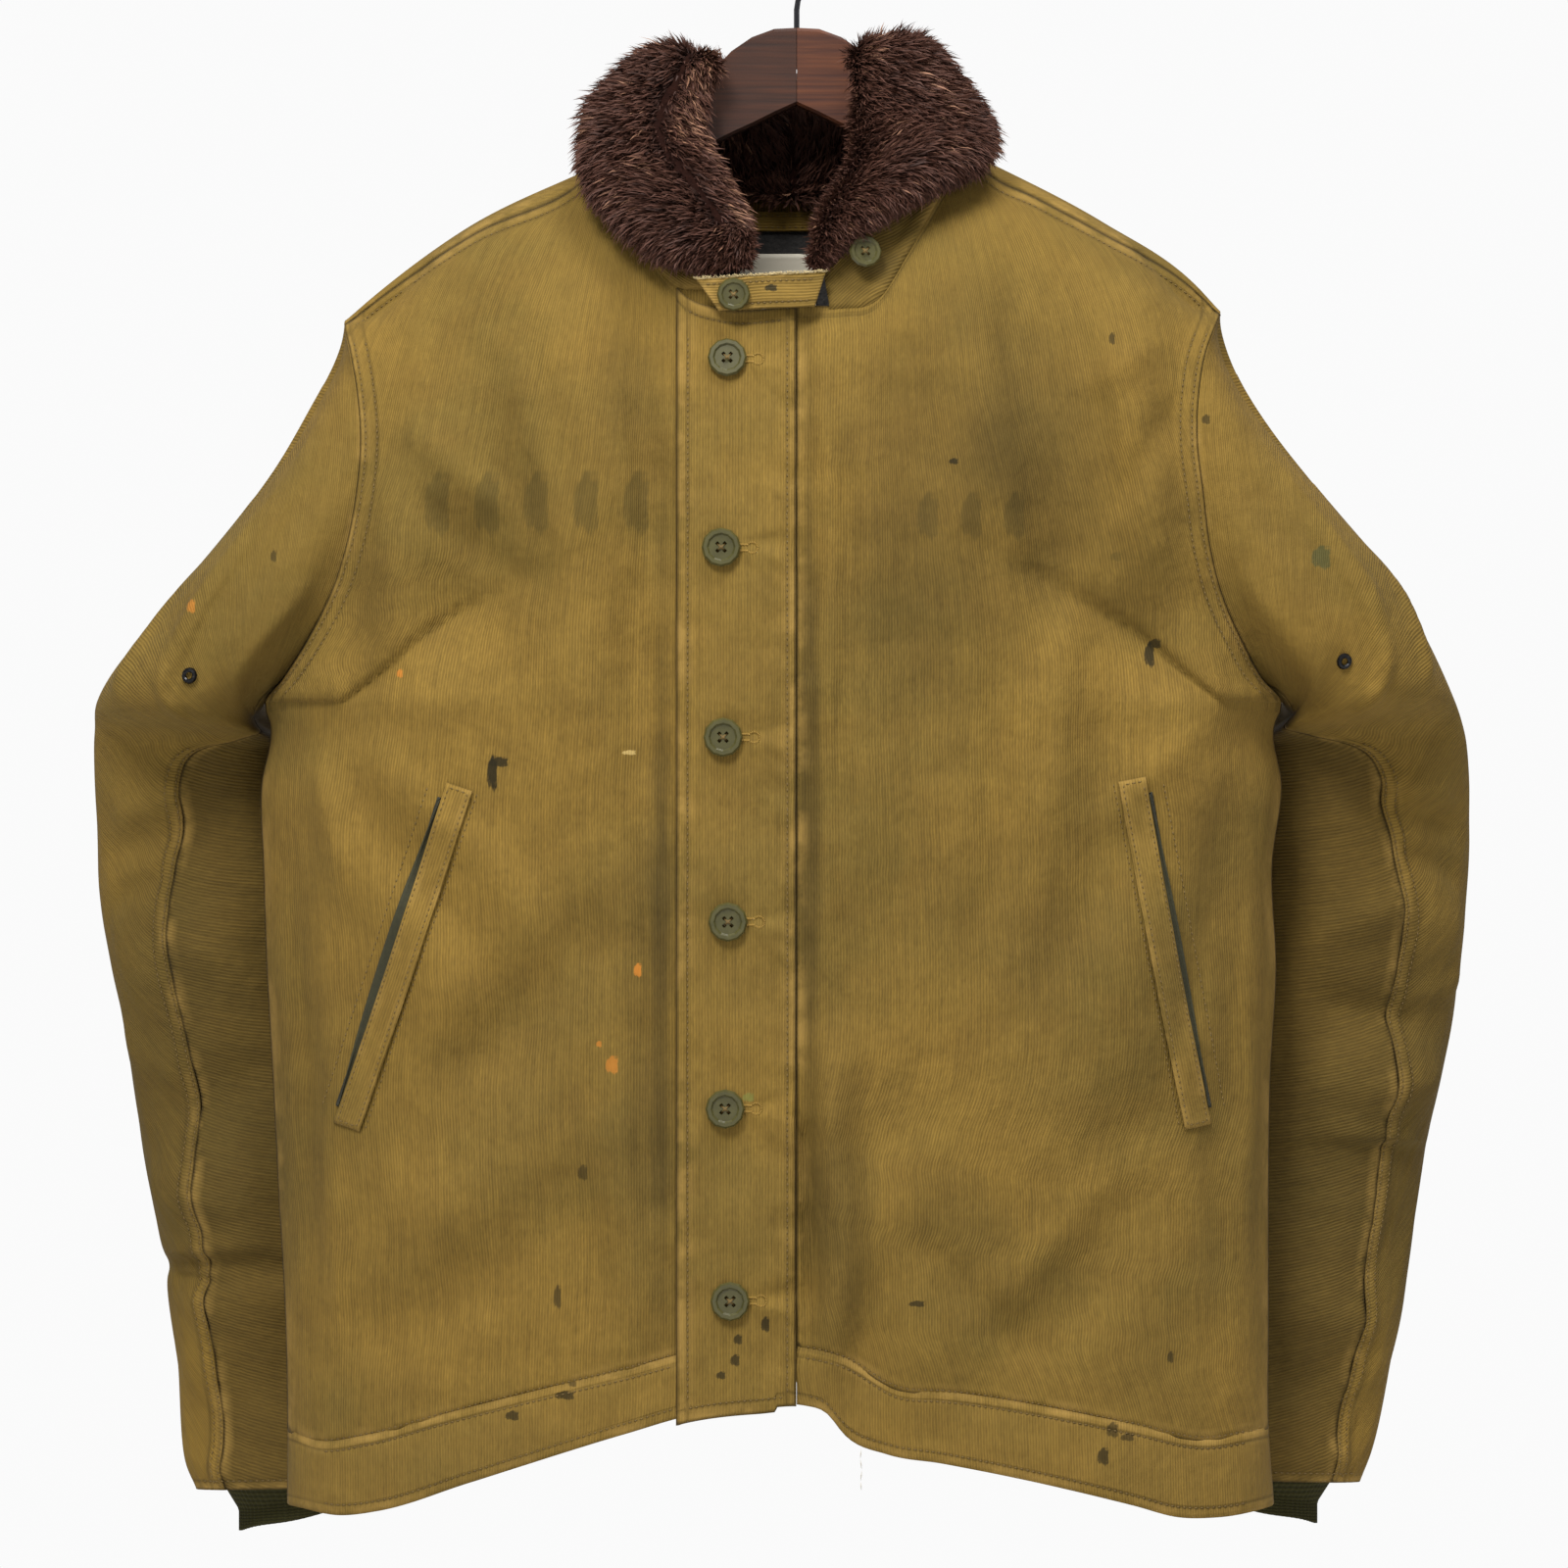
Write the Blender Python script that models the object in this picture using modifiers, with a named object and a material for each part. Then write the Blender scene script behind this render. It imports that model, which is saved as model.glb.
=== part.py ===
"""Deck jacket with a brown pile collar, buttoned up, on a wooden hanger.

Lengths in the tables are millimetres. x runs to the viewer's right from the placket seam, y runs
away from the viewer, and drop runs down from the crest of the wooden hanger. The model's origin is
the inside of the hook's crest, where a rail holds it.
"""

import math

import bmesh
import bpy
import numpy as np
from mathutils import Vector
from mathutils.bvhtree import BVHTree

CREST_DROP = 62.0  # the wood's crest below the inside of the hook
SEAM_X = -1.5  # the placket seam stands a little left of the hook
GAP = 0.3  # between neighbouring pieces
WALL = 2.2  # cotton grosgrain with its pile lining pressed behind it
PLACKET_WALL = 2.6
KNIT_WALL = 1.8
SHOULDER_ROUND = 150.0  # drop over which the shoulder turns from the ridge to the chest
ARM_DEPTH = 56.0  # half the armhole's depth, front to back
PIT_DROP = 362.0
PLACKET_LEFT = 63.4  # the placket's free edge, left of its seam
UNDERLAP = 18.0  # the left front ends this far left of the seam


class Table:
    """Rows under named columns, read smoothly along the first column."""

    def __init__(self, names, *rows):
        self.columns = dict(zip(names.split(), np.array(rows, float).T))
        self.key = self.columns[names.split()[0]]

    def at(self, name, where):
        keys, values = self.key, self.columns[name]
        where = np.clip(where, keys[0], keys[-1])
        slopes = np.gradient(values, keys)
        i = np.clip(np.searchsorted(keys, where) - 1, 0, len(keys) - 2)
        step = keys[i + 1] - keys[i]
        t = (where - keys[i]) / step
        return (
            (2 * t**3 - 3 * t**2 + 1) * values[i]
            + (t**3 - 2 * t**2 + t) * step * slopes[i]
            + (3 * t**2 - 2 * t**3) * values[i + 1]
            + (t**3 - t**2) * step * slopes[i + 1]
        )


# Half widths of the body. Down to the pit they follow the front armhole seams.
SIDES = Table(
    "drop left right",
    (152, 242, 228),
    (157, 242, 226),
    (175, 238, 219),
    (197, 234, 215),
    (223, 232, 214),
    (250, 234, 217),
    (281, 240, 221),
    (307, 249, 228),
    (331, 262, 239),
    (350, 275, 250),
    (362, 285, 261),
    (374, 282, 257),
    (406, 287, 261),
    (447, 286, 256),
    (506, 284, 258),
    (559, 281, 255),
    (620, 278, 254),
    (694, 274, 254),
    (751, 273, 254),
    (795, 273, 257),
)
# The ridge of the shoulders, from one tip to the other.
RIDGE = Table(
    "x drop",
    (-242, 157),
    (-222, 140),
    (-178, 108),
    (-110, 75),
    (-80, 61),
    (-45, 44),
    (0, 30),
    (45, 42),
    (80, 60),
    (100, 70),
    (165, 104),
    (215, 138),
    (228, 152),
)
# How far the front and the back stand from the middle plane.
DEPTHS = Table(
    "drop front back",
    (0, 60, 52),
    (100, 68, 56),
    (155, 76, 59),
    (250, 92, 60),
    (360, 98, 60),
    (480, 100, 60),
    (620, 98, 60),
    (720, 94, 60),
    (800, 90, 61),
)
# Neck seam of the two fronts; beyond its ends the shoulder seam is their top edge.
NECK = Table(
    "x drop",
    (-112, 55),
    (-99, 76),
    (-89, 104),
    (-75, 127),
    (-58, 146),
    (-40, 152.5),
    (0, 151.5),
    (25, 151.5),
    (43, 147),
    (60, 121),
    (77, 90),
    (88, 70),
    (100, 50),
)
# Top edge of the back: the part before the ridge is negative, the part behind it positive.
BACK_TOP = Table(
    "x past_ridge",
    (-242, -2.7),
    (-232, -3.5),
    (-172, -7),
    (-108, -3.5),
    (-98, 3),
    (-88, 12),
    (-60, 30),
    (0, 57),
    (50, 37),
    (78, 14),
    (88, 4),
    (98, -5),
    (129, -8),
    (190, -6),
    (228, -2.7),
)
BAND_SEAM = Table(
    "x drop back",
    (-285, 752, 752),
    (-271, 753, 753),
    (-256, 757, 755),
    (-228, 753, 750),
    (-190, 742, 738),
    (-89, 716, 706),
    (-40, 704, 698),
    (0, 704, 696),
    (24, 709, 697),
    (54, 726, 699),
    (77, 728, 702),
    (181, 747, 735),
    (216, 755, 749),
    (246, 752, 750),
    (262, 750, 750),
)
HEM = Table(
    "x drop back",
    (-285, 791, 791),
    (-267, 792, 791),
    (-243, 795, 792),
    (-222, 792, 788),
    (-173, 776, 772),
    (-89, 749, 740),
    (-54, 739, 734),
    (-20, 735, 731),
    (4, 734, 730),
    (16, 738, 730),
    (26, 750, 731),
    (48, 760, 734),
    (77, 765, 738),
    (181, 789, 776),
    (202, 795, 784),
    (224, 796, 790),
    (262, 791, 791),
)
# Soft folds of the fronts and of the back: a line from one point to another, how wide it is, and
# how far it stands out (or sinks in, where negative).
FRONT_FOLDS = (
    # x0, drop0, x1, drop1, width, rise
    (22, 545, 20, 720, 13, 15),
    (9, 560, 7, 700, 5, -9),
    (60, 600, 58, 735, 26, 8),
    (34, 160, 30, 470, 22, 8),
    (120, 120, 150, 330, 22, -8),
    (78, 110, 92, 330, 20, 6),
    (178, 150, 190, 300, 18, 8),
    (225, 330, 170, 560, 24, 8),
    (175, 330, 145, 520, 18, -6),
    (205, 560, 120, 720, 26, -8),
    (240, 420, 225, 700, 12, -6),
    (-84, 165, -80, 420, 14, -8),
    (-112, 130, -118, 400, 24, 9),
    (-170, 140, -165, 330, 22, -8),
    (-215, 250, -200, 420, 20, 8),
    (-250, 400, -170, 560, 26, 8),
    (-262, 470, -255, 720, 10, -6),
    (-190, 560, -90, 480, 22, -9),
    (-215, 640, -110, 590, 26, 8),
    (-240, 700, -150, 660, 20, -6),
    (-85, 560, -92, 720, 14, 6),
)
BACK_FOLDS = (
    # x0, drop0, x1, drop1, width, rise
    (-120, 130, -135, 420, 30, -9),
    (-70, 140, -60, 620, 28, 8),
    (20, 130, 10, 640, 34, -8),
    (95, 150, 115, 560, 28, 8),
    (165, 180, 170, 480, 26, -9),
    (-215, 340, -120, 540, 26, 9),
    (205, 340, 120, 560, 26, 9),
    (-190, 560, 20, 650, 24, -8),
    (190, 600, 60, 690, 24, -8),
)
# Sleeves, one row for each section. out is the point on the outer silhouette, in the point on the
# body's side, front and back the two faces between them.
SLEEVE_ROWS = "row out_x out_drop out_y in_x in_drop in_y front back"
LEFT_SLEEVE = Table(
    SLEEVE_ROWS,
    (0, -242, 157, 0, -285, 362, 0, -56, 56),
    (1, -256, 176, 0, -287, 364, 4, -59, 58),
    (2, -272, 202, 0, -289, 366, 9, -62, 60),
    (3, -292, 241, 2, -291, 368, 14, -63, 63),
    (4, -317, 281, 4, -291, 370, 20, -60, 67),
    (5, -340, 313, 7, -290, 372, 26, -55, 71),
    (6, -364, 341, 12, -287, 375, 33, -49, 78),
    (7, -376, 361, 18, -281, 379, 40, -38, 86),
    (8, -378, 376, 28, -273, 385, 47, -3, 94),
    (9, -379, 393, 38, -264, 394, 55, 7, 102),
    (10, -378, 437, 54, -250, 432, 64, 11, 111),
    (11, -376, 476, 60, -246, 472, 68, 14, 115),
    (12, -364, 538, 63, -240, 538, 69, 17, 118),
    (13, -354, 603, 64, -231, 603, 71, 20, 120),
    (14, -345, 652, 65, -222, 652, 73, 24, 120),
    (15, -340, 666, 65, -221, 667, 73, 28, 118),
    (16, -341, 680, 65, -218, 681, 73, 26, 119),
    (17, -335, 724, 65, -213, 724, 74, 29, 117),
    (18, -332, 768, 64, -208, 768, 74, 31, 114),
    (19, -325, 788, 64, -206, 784, 74, 34, 110),
)
RIGHT_SLEEVE = Table(
    SLEEVE_ROWS,
    (0, 228, 152, 0, 261, 362, 0, -56, 56),
    (1, 240, 169, 0, 263, 363, 4, -59, 58),
    (2, 254, 195, 0, 265, 365, 9, -62, 60),
    (3, 277, 231, 2, 267, 367, 14, -63, 63),
    (4, 304, 271, 4, 267, 369, 20, -60, 67),
    (5, 325, 302, 7, 265, 371, 26, -55, 71),
    (6, 341, 331, 12, 262, 373, 33, -49, 78),
    (7, 352, 354, 18, 256, 377, 40, -38, 86),
    (8, 359, 371, 28, 248, 383, 47, -3, 94),
    (9, 363, 389, 38, 240, 392, 55, 7, 102),
    (10, 365, 424, 54, 236, 421, 64, 11, 111),
    (11, 364, 460, 60, 232, 457, 68, 14, 115),
    (12, 360, 506, 63, 230, 506, 69, 17, 118),
    (13, 354, 547, 64, 227, 547, 71, 20, 120),
    (14, 344, 592, 65, 220, 592, 73, 24, 120),
    (15, 340, 612, 65, 216, 612, 73, 28, 118),
    (16, 330, 686, 65, 208, 686, 73, 29, 118),
    (17, 322, 724, 65, 201, 724, 74, 30, 116),
    (18, 314, 762, 64, 194, 762, 74, 31, 114),
    (19, 306, 784, 64, 190, 780, 74, 34, 110),
)
# Where the two seams of a sleeve run, as angles round it: 0 outer, 90 front, 180 inner, 270 back.
SLEEVE_SEAMS = Table(
    "row front back",
    (0, 166, 236),
    (6, 160, 240),
    (7, 150, 244),
    (8, 118, 248),
    (9, 84, 252),
    (10, 74, 256),
    (13, 60, 260),
    (19, 44, 262),
)
# Creases round a sleeve, as a line from one row and angle to another.
SLEEVE_FOLDS = (
    # row0, angle0, row1, angle1, width, rise
    (1.0, 60, 6.0, 95, 0.12, -6),
    (1.0, 110, 5.5, 125, 0.10, 6),
    (10.2, 20, 9.6, 100, 0.16, -6),
    (11.6, 10, 11.2, 110, 0.20, 6),
    (12.4, 25, 12.8, 120, 0.22, -6),
    (13.6, 15, 13.2, 110, 0.22, 6),
    (17.4, 20, 17.0, 120, 0.24, -6),
    (10.5, 250, 10.0, 330, 0.22, -7),
    (12.6, 240, 12.0, 330, 0.24, 7),
    (16.6, 250, 16.9, 340, 0.24, -6),
)
# The pile collar, one row for each section: its roll (inner) edge, its outer edge and half its
# thickness. neck_x is where the cloth side leaves the neck seam; it meets the pile at the angle hug
# and ends at the angle rim.
COLLAR = Table(
    "row roll_x roll_y roll_drop out_x out_y out_drop half neck_x hug rim",
    (0, -21, -76, 130, -50, -78, 134, 5, -36, 300, 335),
    (1, -24, -74, 112, -76, -76, 124, 10, -58, 300, 335),
    (2, -33, -63, 92, -102, -63, 98, 13, -80, 300, 335),
    (3, -43, -50, 74, -112, -46, 78, 14, -91, 297, 335),
    (4, -49, -36, 57, -112, -28, 60, 14, -97, 292, 335),
    (5, -47, -27, 38, -108, -8, 42, 14, -101, 285, 325),
    (6, -43, -21, 20, -90, 8, 24, 12, -101, 275, 304),
    (7, -66, 16, 52, -66, 28, 11, 10, -88, 258, 316),
    (8, -46, 26, 80, -38, 40, 19, 9, -60, 245, 335),
    (9, -1.5, 29, 93, -1.5, 42, 28, 9, -1.5, 242, 335),
    (10, 42, 26, 78, 34, 40, 15, 9, 54, 245, 335),
    (11, 67, 16, 50, 58, 28, 6, 10, 80, 258, 316),
    (11.5, 60, -5, 27, 70, 17, 10, 10, 86, 266, 310),
    (12, 34, -27, 14, 78, -3, 18, 10, 90, 275, 308),
    (13, 31, -33, 36, 94, -13, 38, 13, 91, 285, 325),
    (14, 30, -38, 56, 103, -28, 56, 14, 88, 292, 335),
    (15, 29, -50, 72, 99, -46, 73, 14, 80, 296, 335),
    (16, 21, -62, 90, 72, -64, 88, 12, 66, 290, 335),
    (17, 12, -73, 108, 44, -77, 104, 9, 46, 285, 335),
    (18, 4, -76, 128, 14, -78, 134, 5, 14, 285, 335),
)
COLLAR_LAST = 18
NECK_CLEAR = 1.0
# One half of the hanger, one row for each section.
HANGER = Table(
    "x top bottom half",
    (0, 0, 41.6, 11),
    (12, 0.6, 47, 11),
    (24, 5, 53, 11),
    (35, 12.5, 58, 11),
    (43, 21, 62, 11),
    (51, 34, 67, 11.5),
    (58, 50, 72, 12),
    (70, 67, 80, 12.5),
    (86, 80, 93, 13),
    (110, 95, 112, 14),
    (150, 119, 137, 15),
    (190, 144.3, 161.5, 14),
    (210, 156.2, 169.5, 12),
    (218, 162.3, 168.5, 9),
)
# Buttons: the six on the placket, then the strap's and the collar's.
BUTTONS = Table(
    "number x drop",
    (1, -36.4, 180.4),
    (2, -39.5, 280.8),
    (3, -38.5, 381.0),
    (4, -35.9, 478.4),
    (5, -37.4, 577.0),
    (6, -34.8, 678.6),
)
# Pocket mouths: the centre line of each welt, and how far it stands off the front.
WELTS = {
    "left": ((-178, 407), (-239, 588), 2.6),
    "right": ((178, 403), (214, 588), 1.6),
}
WELT_WIDTH = 15.0
WELT_HEIGHT = 1.9
FACING_WIDTH = 6.0

for old in list(bpy.data.objects):
    bpy.data.objects.remove(old, do_unlink=True)
parts = bpy.data.collections.new("deck_jacket_on_hanger")
cutters = bpy.data.collections.new("deck_jacket_cutters")
for collection in (parts, cutters):
    bpy.context.scene.collection.children.link(collection)


def point(x, y, drop):
    """A place in the tables' millimetres, as metres in the model."""
    return ((x + SEAM_X) / 1000, y / 1000, -(CREST_DROP + drop) / 1000)


def material(name, colour, roughness, metallic=0.0):
    made = bpy.data.materials.new(name)
    made.use_nodes = True
    shader = made.node_tree.nodes["Principled BSDF"]
    shader.inputs["Base Color"].default_value = (*colour, 1)
    shader.inputs["Roughness"].default_value = roughness
    shader.inputs["Metallic"].default_value = metallic
    made.diffuse_color = (*colour, 1)
    return made


def add(name, mesh, finish):
    """Make the mesh a part of the jacket, with a finish of its own."""
    mesh.name = name
    mesh.materials.clear()
    mesh.materials.append(material(name, *finish))
    piece = bpy.data.objects.new(name, mesh)
    parts.objects.link(piece)
    return piece


def surface(name, rows, closed=False):
    """A mesh through a grid of points, rows running down and columns running across."""
    grid = np.asarray(rows)
    down, across = grid.shape[:2]
    index = np.arange(down * across).reshape(down, across)
    faces = []
    for j in range(down - 1):
        for i in range(across if closed else across - 1):
            k = (i + 1) % across
            faces.append((index[j, i], index[j + 1, i], index[j + 1, k], index[j, k]))
    mesh = bpy.data.meshes.new(name)
    mesh.from_pydata([point(*p) for p in grid.reshape(-1, 3)], [], [[int(v) for v in f] for f in faces])
    mesh.validate()
    return mesh


def cloth(name, rows, finish, wall=WALL, closed=False, flip=False):
    """A wall of even thickness whose outer face passes through the grid."""
    grid = np.asarray(rows)
    mesh = surface(name, grid[:, ::-1] if flip else grid, closed)
    piece = add(name, mesh, finish)
    mesh.shade_smooth()
    shell = piece.modifiers.new("Wall", "SOLIDIFY")
    shell.thickness = wall / 1000
    shell.offset = -1
    return piece


def lofted_wall(name, outer, inner, finish, flip=False):
    """A closed wall between an outer and an inner face that share their rows and columns.

    Neighbours take both faces from the same functions, so their edges meet along one plane.
    """
    outer, inner = np.asarray(outer), np.asarray(inner)
    if flip:
        outer, inner = outer[:, ::-1], inner[:, ::-1]
    down, across = outer.shape[:2]
    out = np.arange(down * across).reshape(down, across)
    deep = out + down * across
    faces = []
    for j in range(down - 1):
        for i in range(across - 1):
            faces.append((out[j, i], out[j + 1, i], out[j + 1, i + 1], out[j, i + 1]))
            faces.append((deep[j, i + 1], deep[j + 1, i + 1], deep[j + 1, i], deep[j, i]))
    # The edges are cut along one diagonal, so that those of neighbouring pieces match.
    for i in range(across - 1):
        for row, turn in ((0, 1), (-1, -1)):
            a, b, c, d = out[row, i], out[row, i + 1], deep[row, i + 1], deep[row, i]
            outward = abs(outer[row, i, 0]) < abs(outer[row, i + 1, 0])
            for corners in ((a, b, c), (a, c, d)) if outward else ((a, b, d), (b, c, d)):
                faces.append(corners[::turn])
    for j in range(down - 1):
        faces.append((deep[j, 0], deep[j + 1, 0], out[j, 0]))
        faces.append((deep[j + 1, 0], out[j + 1, 0], out[j, 0]))
        faces.append((out[j, -1], deep[j + 1, -1], deep[j, -1]))
        faces.append((out[j, -1], out[j + 1, -1], deep[j + 1, -1]))
    places = [point(*p) for p in np.concatenate([outer.reshape(-1, 3), inner.reshape(-1, 3)])]
    mesh = bpy.data.meshes.new(name)
    mesh.from_pydata(places, [], [[int(v) for v in f] for f in faces])
    mesh.validate()
    mesh.shade_smooth()
    mesh.set_sharp_from_angle(angle=math.radians(60))
    return add(name, mesh, finish)


def spread(first, last, count, ease=1.0):
    return first + (last - first) * (np.arange(count + 1) / count) ** ease


def ease(value, low, high):
    t = np.clip((value - low) / (high - low), 0, 1)
    return t * t * (3 - 2 * t)


def folds_at(folds, x, drop):
    """How far the folds move the cloth out at one place."""
    total = 0.0
    for x0, d0, x1, d1, width, rise in folds:
        run = math.hypot(x1 - x0, d1 - d0)
        ux, ud = (x1 - x0) / run, (d1 - d0) / run
        along = (x - x0) * ux + (drop - d0) * ud
        aside = (x - x0) * ud - (drop - d0) * ux
        fade = ease(along, -0.15 * run, 0.25 * run) * ease(-along, -1.15 * run, -0.75 * run)
        total += rise * fade * math.exp(-((aside / width) ** 2))
    return total


def side_name(x):
    return "left" if x < 0 else "right"


def tip_drop(side):
    return 157.0 if side == "left" else 152.0


def edge_x(side, drop, face):
    """The body's edge: armhole seam down to the pit, side seam below it."""
    sign = -1 if side == "left" else 1
    half = SIDES.at(side, max(drop, tip_drop(side)))
    if face > 0 and drop < PIT_DROP:
        tip = SIDES.at(side, tip_drop(side))
        pit = SIDES.at(side, PIT_DROP)
        share = np.clip((drop - tip_drop(side)) / (PIT_DROP - tip_drop(side)), 0, 1)
        half = (half + tip + (pit - tip) * share) / 2
    return sign * half


def armhole(side):
    """Drop of the armhole's middle and half its height."""
    return (PIT_DROP + tip_drop(side)) / 2, (PIT_DROP - tip_drop(side)) / 2


def body_y(side, share, x, drop, face, inset):
    """Depth of the body's surface. share is 0 at its edge and 1 at the middle."""
    ridge = float(RIDGE.at("drop", x))
    fall = max(drop - ridge, 0.0)
    radius = armhole(side)[1]
    start = tip_drop(side) + (ridge - tip_drop(side)) * float(ease(share, 0.0, 0.25))
    climb = (drop - start - radius) / radius
    edge = (ARM_DEPTH - inset) * math.sqrt(max(1 - climb**2, 0.0))
    turn = math.sqrt(1 - (1 - min(fall, SHOULDER_ROUND) / SHOULDER_ROUND) ** 2)
    full = (float(DEPTHS.at("front" if face < 0 else "back", drop)) - inset) * turn
    share = min(max(share, 0.0), 1.0)
    power = 2.3 if face < 0 else 2.0
    low = (1 - (1 - share) ** power) ** (1 / power)
    high = 1 - (1 - share) ** 3
    across = high + (low - high) * float(ease(drop, PIT_DROP - 60, PIT_DROP + 6))
    return face * (edge * (1 - across) + full * across)


def body(side, share, drop, face, end_x=0.0, inset=0.0):
    """A point on the body between its edge and end_x, or on its inner face inset below it."""
    edge = edge_x(side, drop, face)
    x = edge + (end_x - edge) * share
    whole = (edge - x) / edge
    fall = drop - float(RIDGE.at("drop", x))
    y = body_y(side, whole, x, drop, face, inset)
    folds = FRONT_FOLDS if face < 0 else BACK_FOLDS
    calm = float(ease(whole, 0.0, 0.14) * ease(fall, 0, 40))
    y += face * folds_at(folds, x, drop) * calm
    if inset:
        middle, radius = armhole(side)
        climb = np.clip((drop - middle) / radius, -1, 1)
        at_edge = -climb if drop < PIT_DROP else -float(1 - ease(drop, PIT_DROP, PIT_DROP + 25))
        inside = float(ease(whole, 0, 0.2))
        x -= math.copysign(inset, edge) * (1 - whole)
        drop += inset * (at_edge * (1 - inside) + max(1 - fall / SHOULDER_ROUND, 0) * inside)
    return np.array((x, y, drop))


def body_at(x, drop, face):
    """A point on the body at x."""
    side = side_name(x)
    return body(side, 1 - x / edge_x(side, drop, face), drop, face)


def crossing(side, share, end_x, face, line):
    """The drop where a column of the panel meets a line that is given along x."""
    drop = line(0.0)
    for _ in range(8):
        edge = edge_x(side, drop, face)
        drop = float(line(edge + (end_x - edge) * share))
    return drop


def front_top(x):
    """Top edge of the fronts: shoulder seam at the sides, neck seam in the middle."""
    return max(float(RIDGE.at("drop", x) - BACK_TOP.at("past_ridge", x)), float(NECK.at("drop", x)))


def line_of(table, name):
    return lambda x: float(table.at(name, x))


# One finish for each kind of cloth: colour, roughness.
OLIVE = ((0.29, 0.19, 0.052), 0.85)
OLIVE_WORN = ((0.33, 0.22, 0.07), 0.85)
KNIT = ((0.045, 0.042, 0.014), 0.95)
PILE = ((0.075, 0.03, 0.018), 1.0)
DARK = ((0.012, 0.009, 0.007), 0.95)
CREAM = ((0.62, 0.57, 0.48), 0.9)
BUTTON = ((0.10, 0.10, 0.035), 0.35)
BLACK = ((0.012, 0.012, 0.014), 0.35)
WOOD = ((0.11, 0.028, 0.014), 0.35)
STEEL = ((0.02, 0.02, 0.022), 0.4, 1.0)

ARM_STEPS = 7  # rows between the shoulder seam and the pit
FRONT_STEPS = 10  # rows from there to the band
BACK_STEPS = 9
BAND_STEPS = 3
SEAM_ANGLE = 13.2  # the shoulder seam's place on the armhole, in degrees past its top


# Each column is a share of the way from a panel's edge to an end, or a fixed x under the placket.
# Front and back share their columns out to the corner where shoulder seam and neck seam meet.
LEFT_SHARES = (0, 0.029, 0.088, 0.17, 0.273, 0.394, 0.53, 0.66, 0.787)
RIGHT_SHARES = (0, 0.021, 0.064, 0.123, 0.197, 0.284, 0.383, 0.492, 0.602)
LEFT_COLUMNS = [(share, -PLACKET_LEFT) for share in (*LEFT_SHARES, 0.89, 1.0)]
RIGHT_COLUMNS = [(share, 0.4) for share in (*RIGHT_SHARES, 0.663, 0.738, 0.813, 0.905, 1.0)]
UNDER_COLUMNS = [(1.0, x) for x in (-48.0, -33.0, -UNDERLAP)]
SEAM_COLUMNS = [(1.0, x) for x in (-0.3, -8.0, -14.0)]
BACK_LEFT_COLUMNS = [*LEFT_COLUMNS, (1.0, -42.0), (1.0, -20.0)]
BACK_RIGHT_COLUMNS = [(share, 0.4) for share in (*RIGHT_SHARES, 0.74, 0.88, 1.0)]


def armhole_angles(face):
    """Where the panels' rows meet the armhole, in degrees past its top."""
    return spread(SEAM_ANGLE if face < 0 else 0.0, 180.0, ARM_STEPS)


def arm_shares(face):
    """The same rows as shares of the way down from the top edge to the pit."""
    fall = 1 - np.cos(np.radians(armhole_angles(face)))
    return (fall - fall[0]) / (fall[-1] - fall[0])


def column_of(side, column, face, drops, inset, out=0.0):
    share, end = column
    return [body(side, share, d, face, end, inset) + np.array((0, face * out, 0)) for d in drops]


def front_drops(side, column, top_gap=0.5):
    at_tip = 2.6 * (1 - float(ease(column[0], 0, 0.1)))
    top = crossing(side, *column, -1, front_top) + top_gap + at_tip
    seam = crossing(side, *column, -1, line_of(BAND_SEAM, "drop")) - GAP / 2
    arm = top + (PIT_DROP - top) * arm_shares(-1)
    return np.concatenate([arm, spread(PIT_DROP, seam, FRONT_STEPS)[1:]])


def band_drops(side, column, face, name):
    seam = crossing(side, *column, face, line_of(BAND_SEAM, name)) + GAP / 2
    hem = crossing(side, *column, face, line_of(HEM, name))
    return spread(seam, hem, BAND_STEPS)


def back_drops(side, column):
    """The drop of the shoulder seam before the ridge, if there is one, and the drops behind it."""
    def past(x):
        return float(BACK_TOP.at("past_ridge", x))

    def ridge(x):
        return float(RIDGE.at("drop", x))

    first = crossing(side, *column, 1, lambda x: ridge(x) + max(past(x), 0.0))
    seam = crossing(side, *column, 1, line_of(BAND_SEAM, "back")) - GAP / 2
    arm = first + (PIT_DROP - first) * arm_shares(1)
    drops = np.concatenate([arm, spread(PIT_DROP, seam, BACK_STEPS)[1:]])
    x = body(side, column[0], first, 1, column[1])[0]
    if past(x) >= 0:
        return None, drops
    return crossing(side, *column, -1, lambda x: ridge(x) - min(past(x), 0.0)), drops


def back_column(side, column, inset):
    """One column of the back. Its first row is before the ridge, or level with the neck seam."""
    top, drops = back_drops(side, column)
    rows = column_of(side, column, 1, drops, inset)
    if top is None:
        first = rows[0] - np.array((0, 0, 1.2))
    else:
        first = body(side, column[0], top, -1, column[1], inset)
    return [first, *rows]


def part_at(grid, edge_shift):
    """Move the side seam's column off the middle plane."""
    grid = np.array(grid).transpose(1, 0, 2)
    for column, shift in edge_shift:
        grid[ARM_STEPS:, column, 1] += shift
    return grid


panels = {}
for side, columns in (("left", LEFT_COLUMNS + UNDER_COLUMNS), ("right", RIGHT_COLUMNS + SEAM_COLUMNS)):
    faces = []
    bands = []
    for inset in (0.0, WALL):
        panel = [column_of(side, c, -1, front_drops(side, c), inset) for c in columns]
        faces.append(part_at(panel, [(0, -GAP / 2)]))
        band = [column_of(side, c, -1, band_drops(side, c, -1, "drop"), inset) for c in columns]
        band = np.array(band).transpose(1, 0, 2)
        band[:, 0, 1] -= GAP / 2
        bands.append(band)
    panels["front_" + side] = faces[0]
    lofted_wall("front_" + side, *faces, OLIVE, flip=side == "right")
    lofted_wall("hem_band_" + side, *bands, OLIVE_WORN, flip=side == "right")

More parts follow.
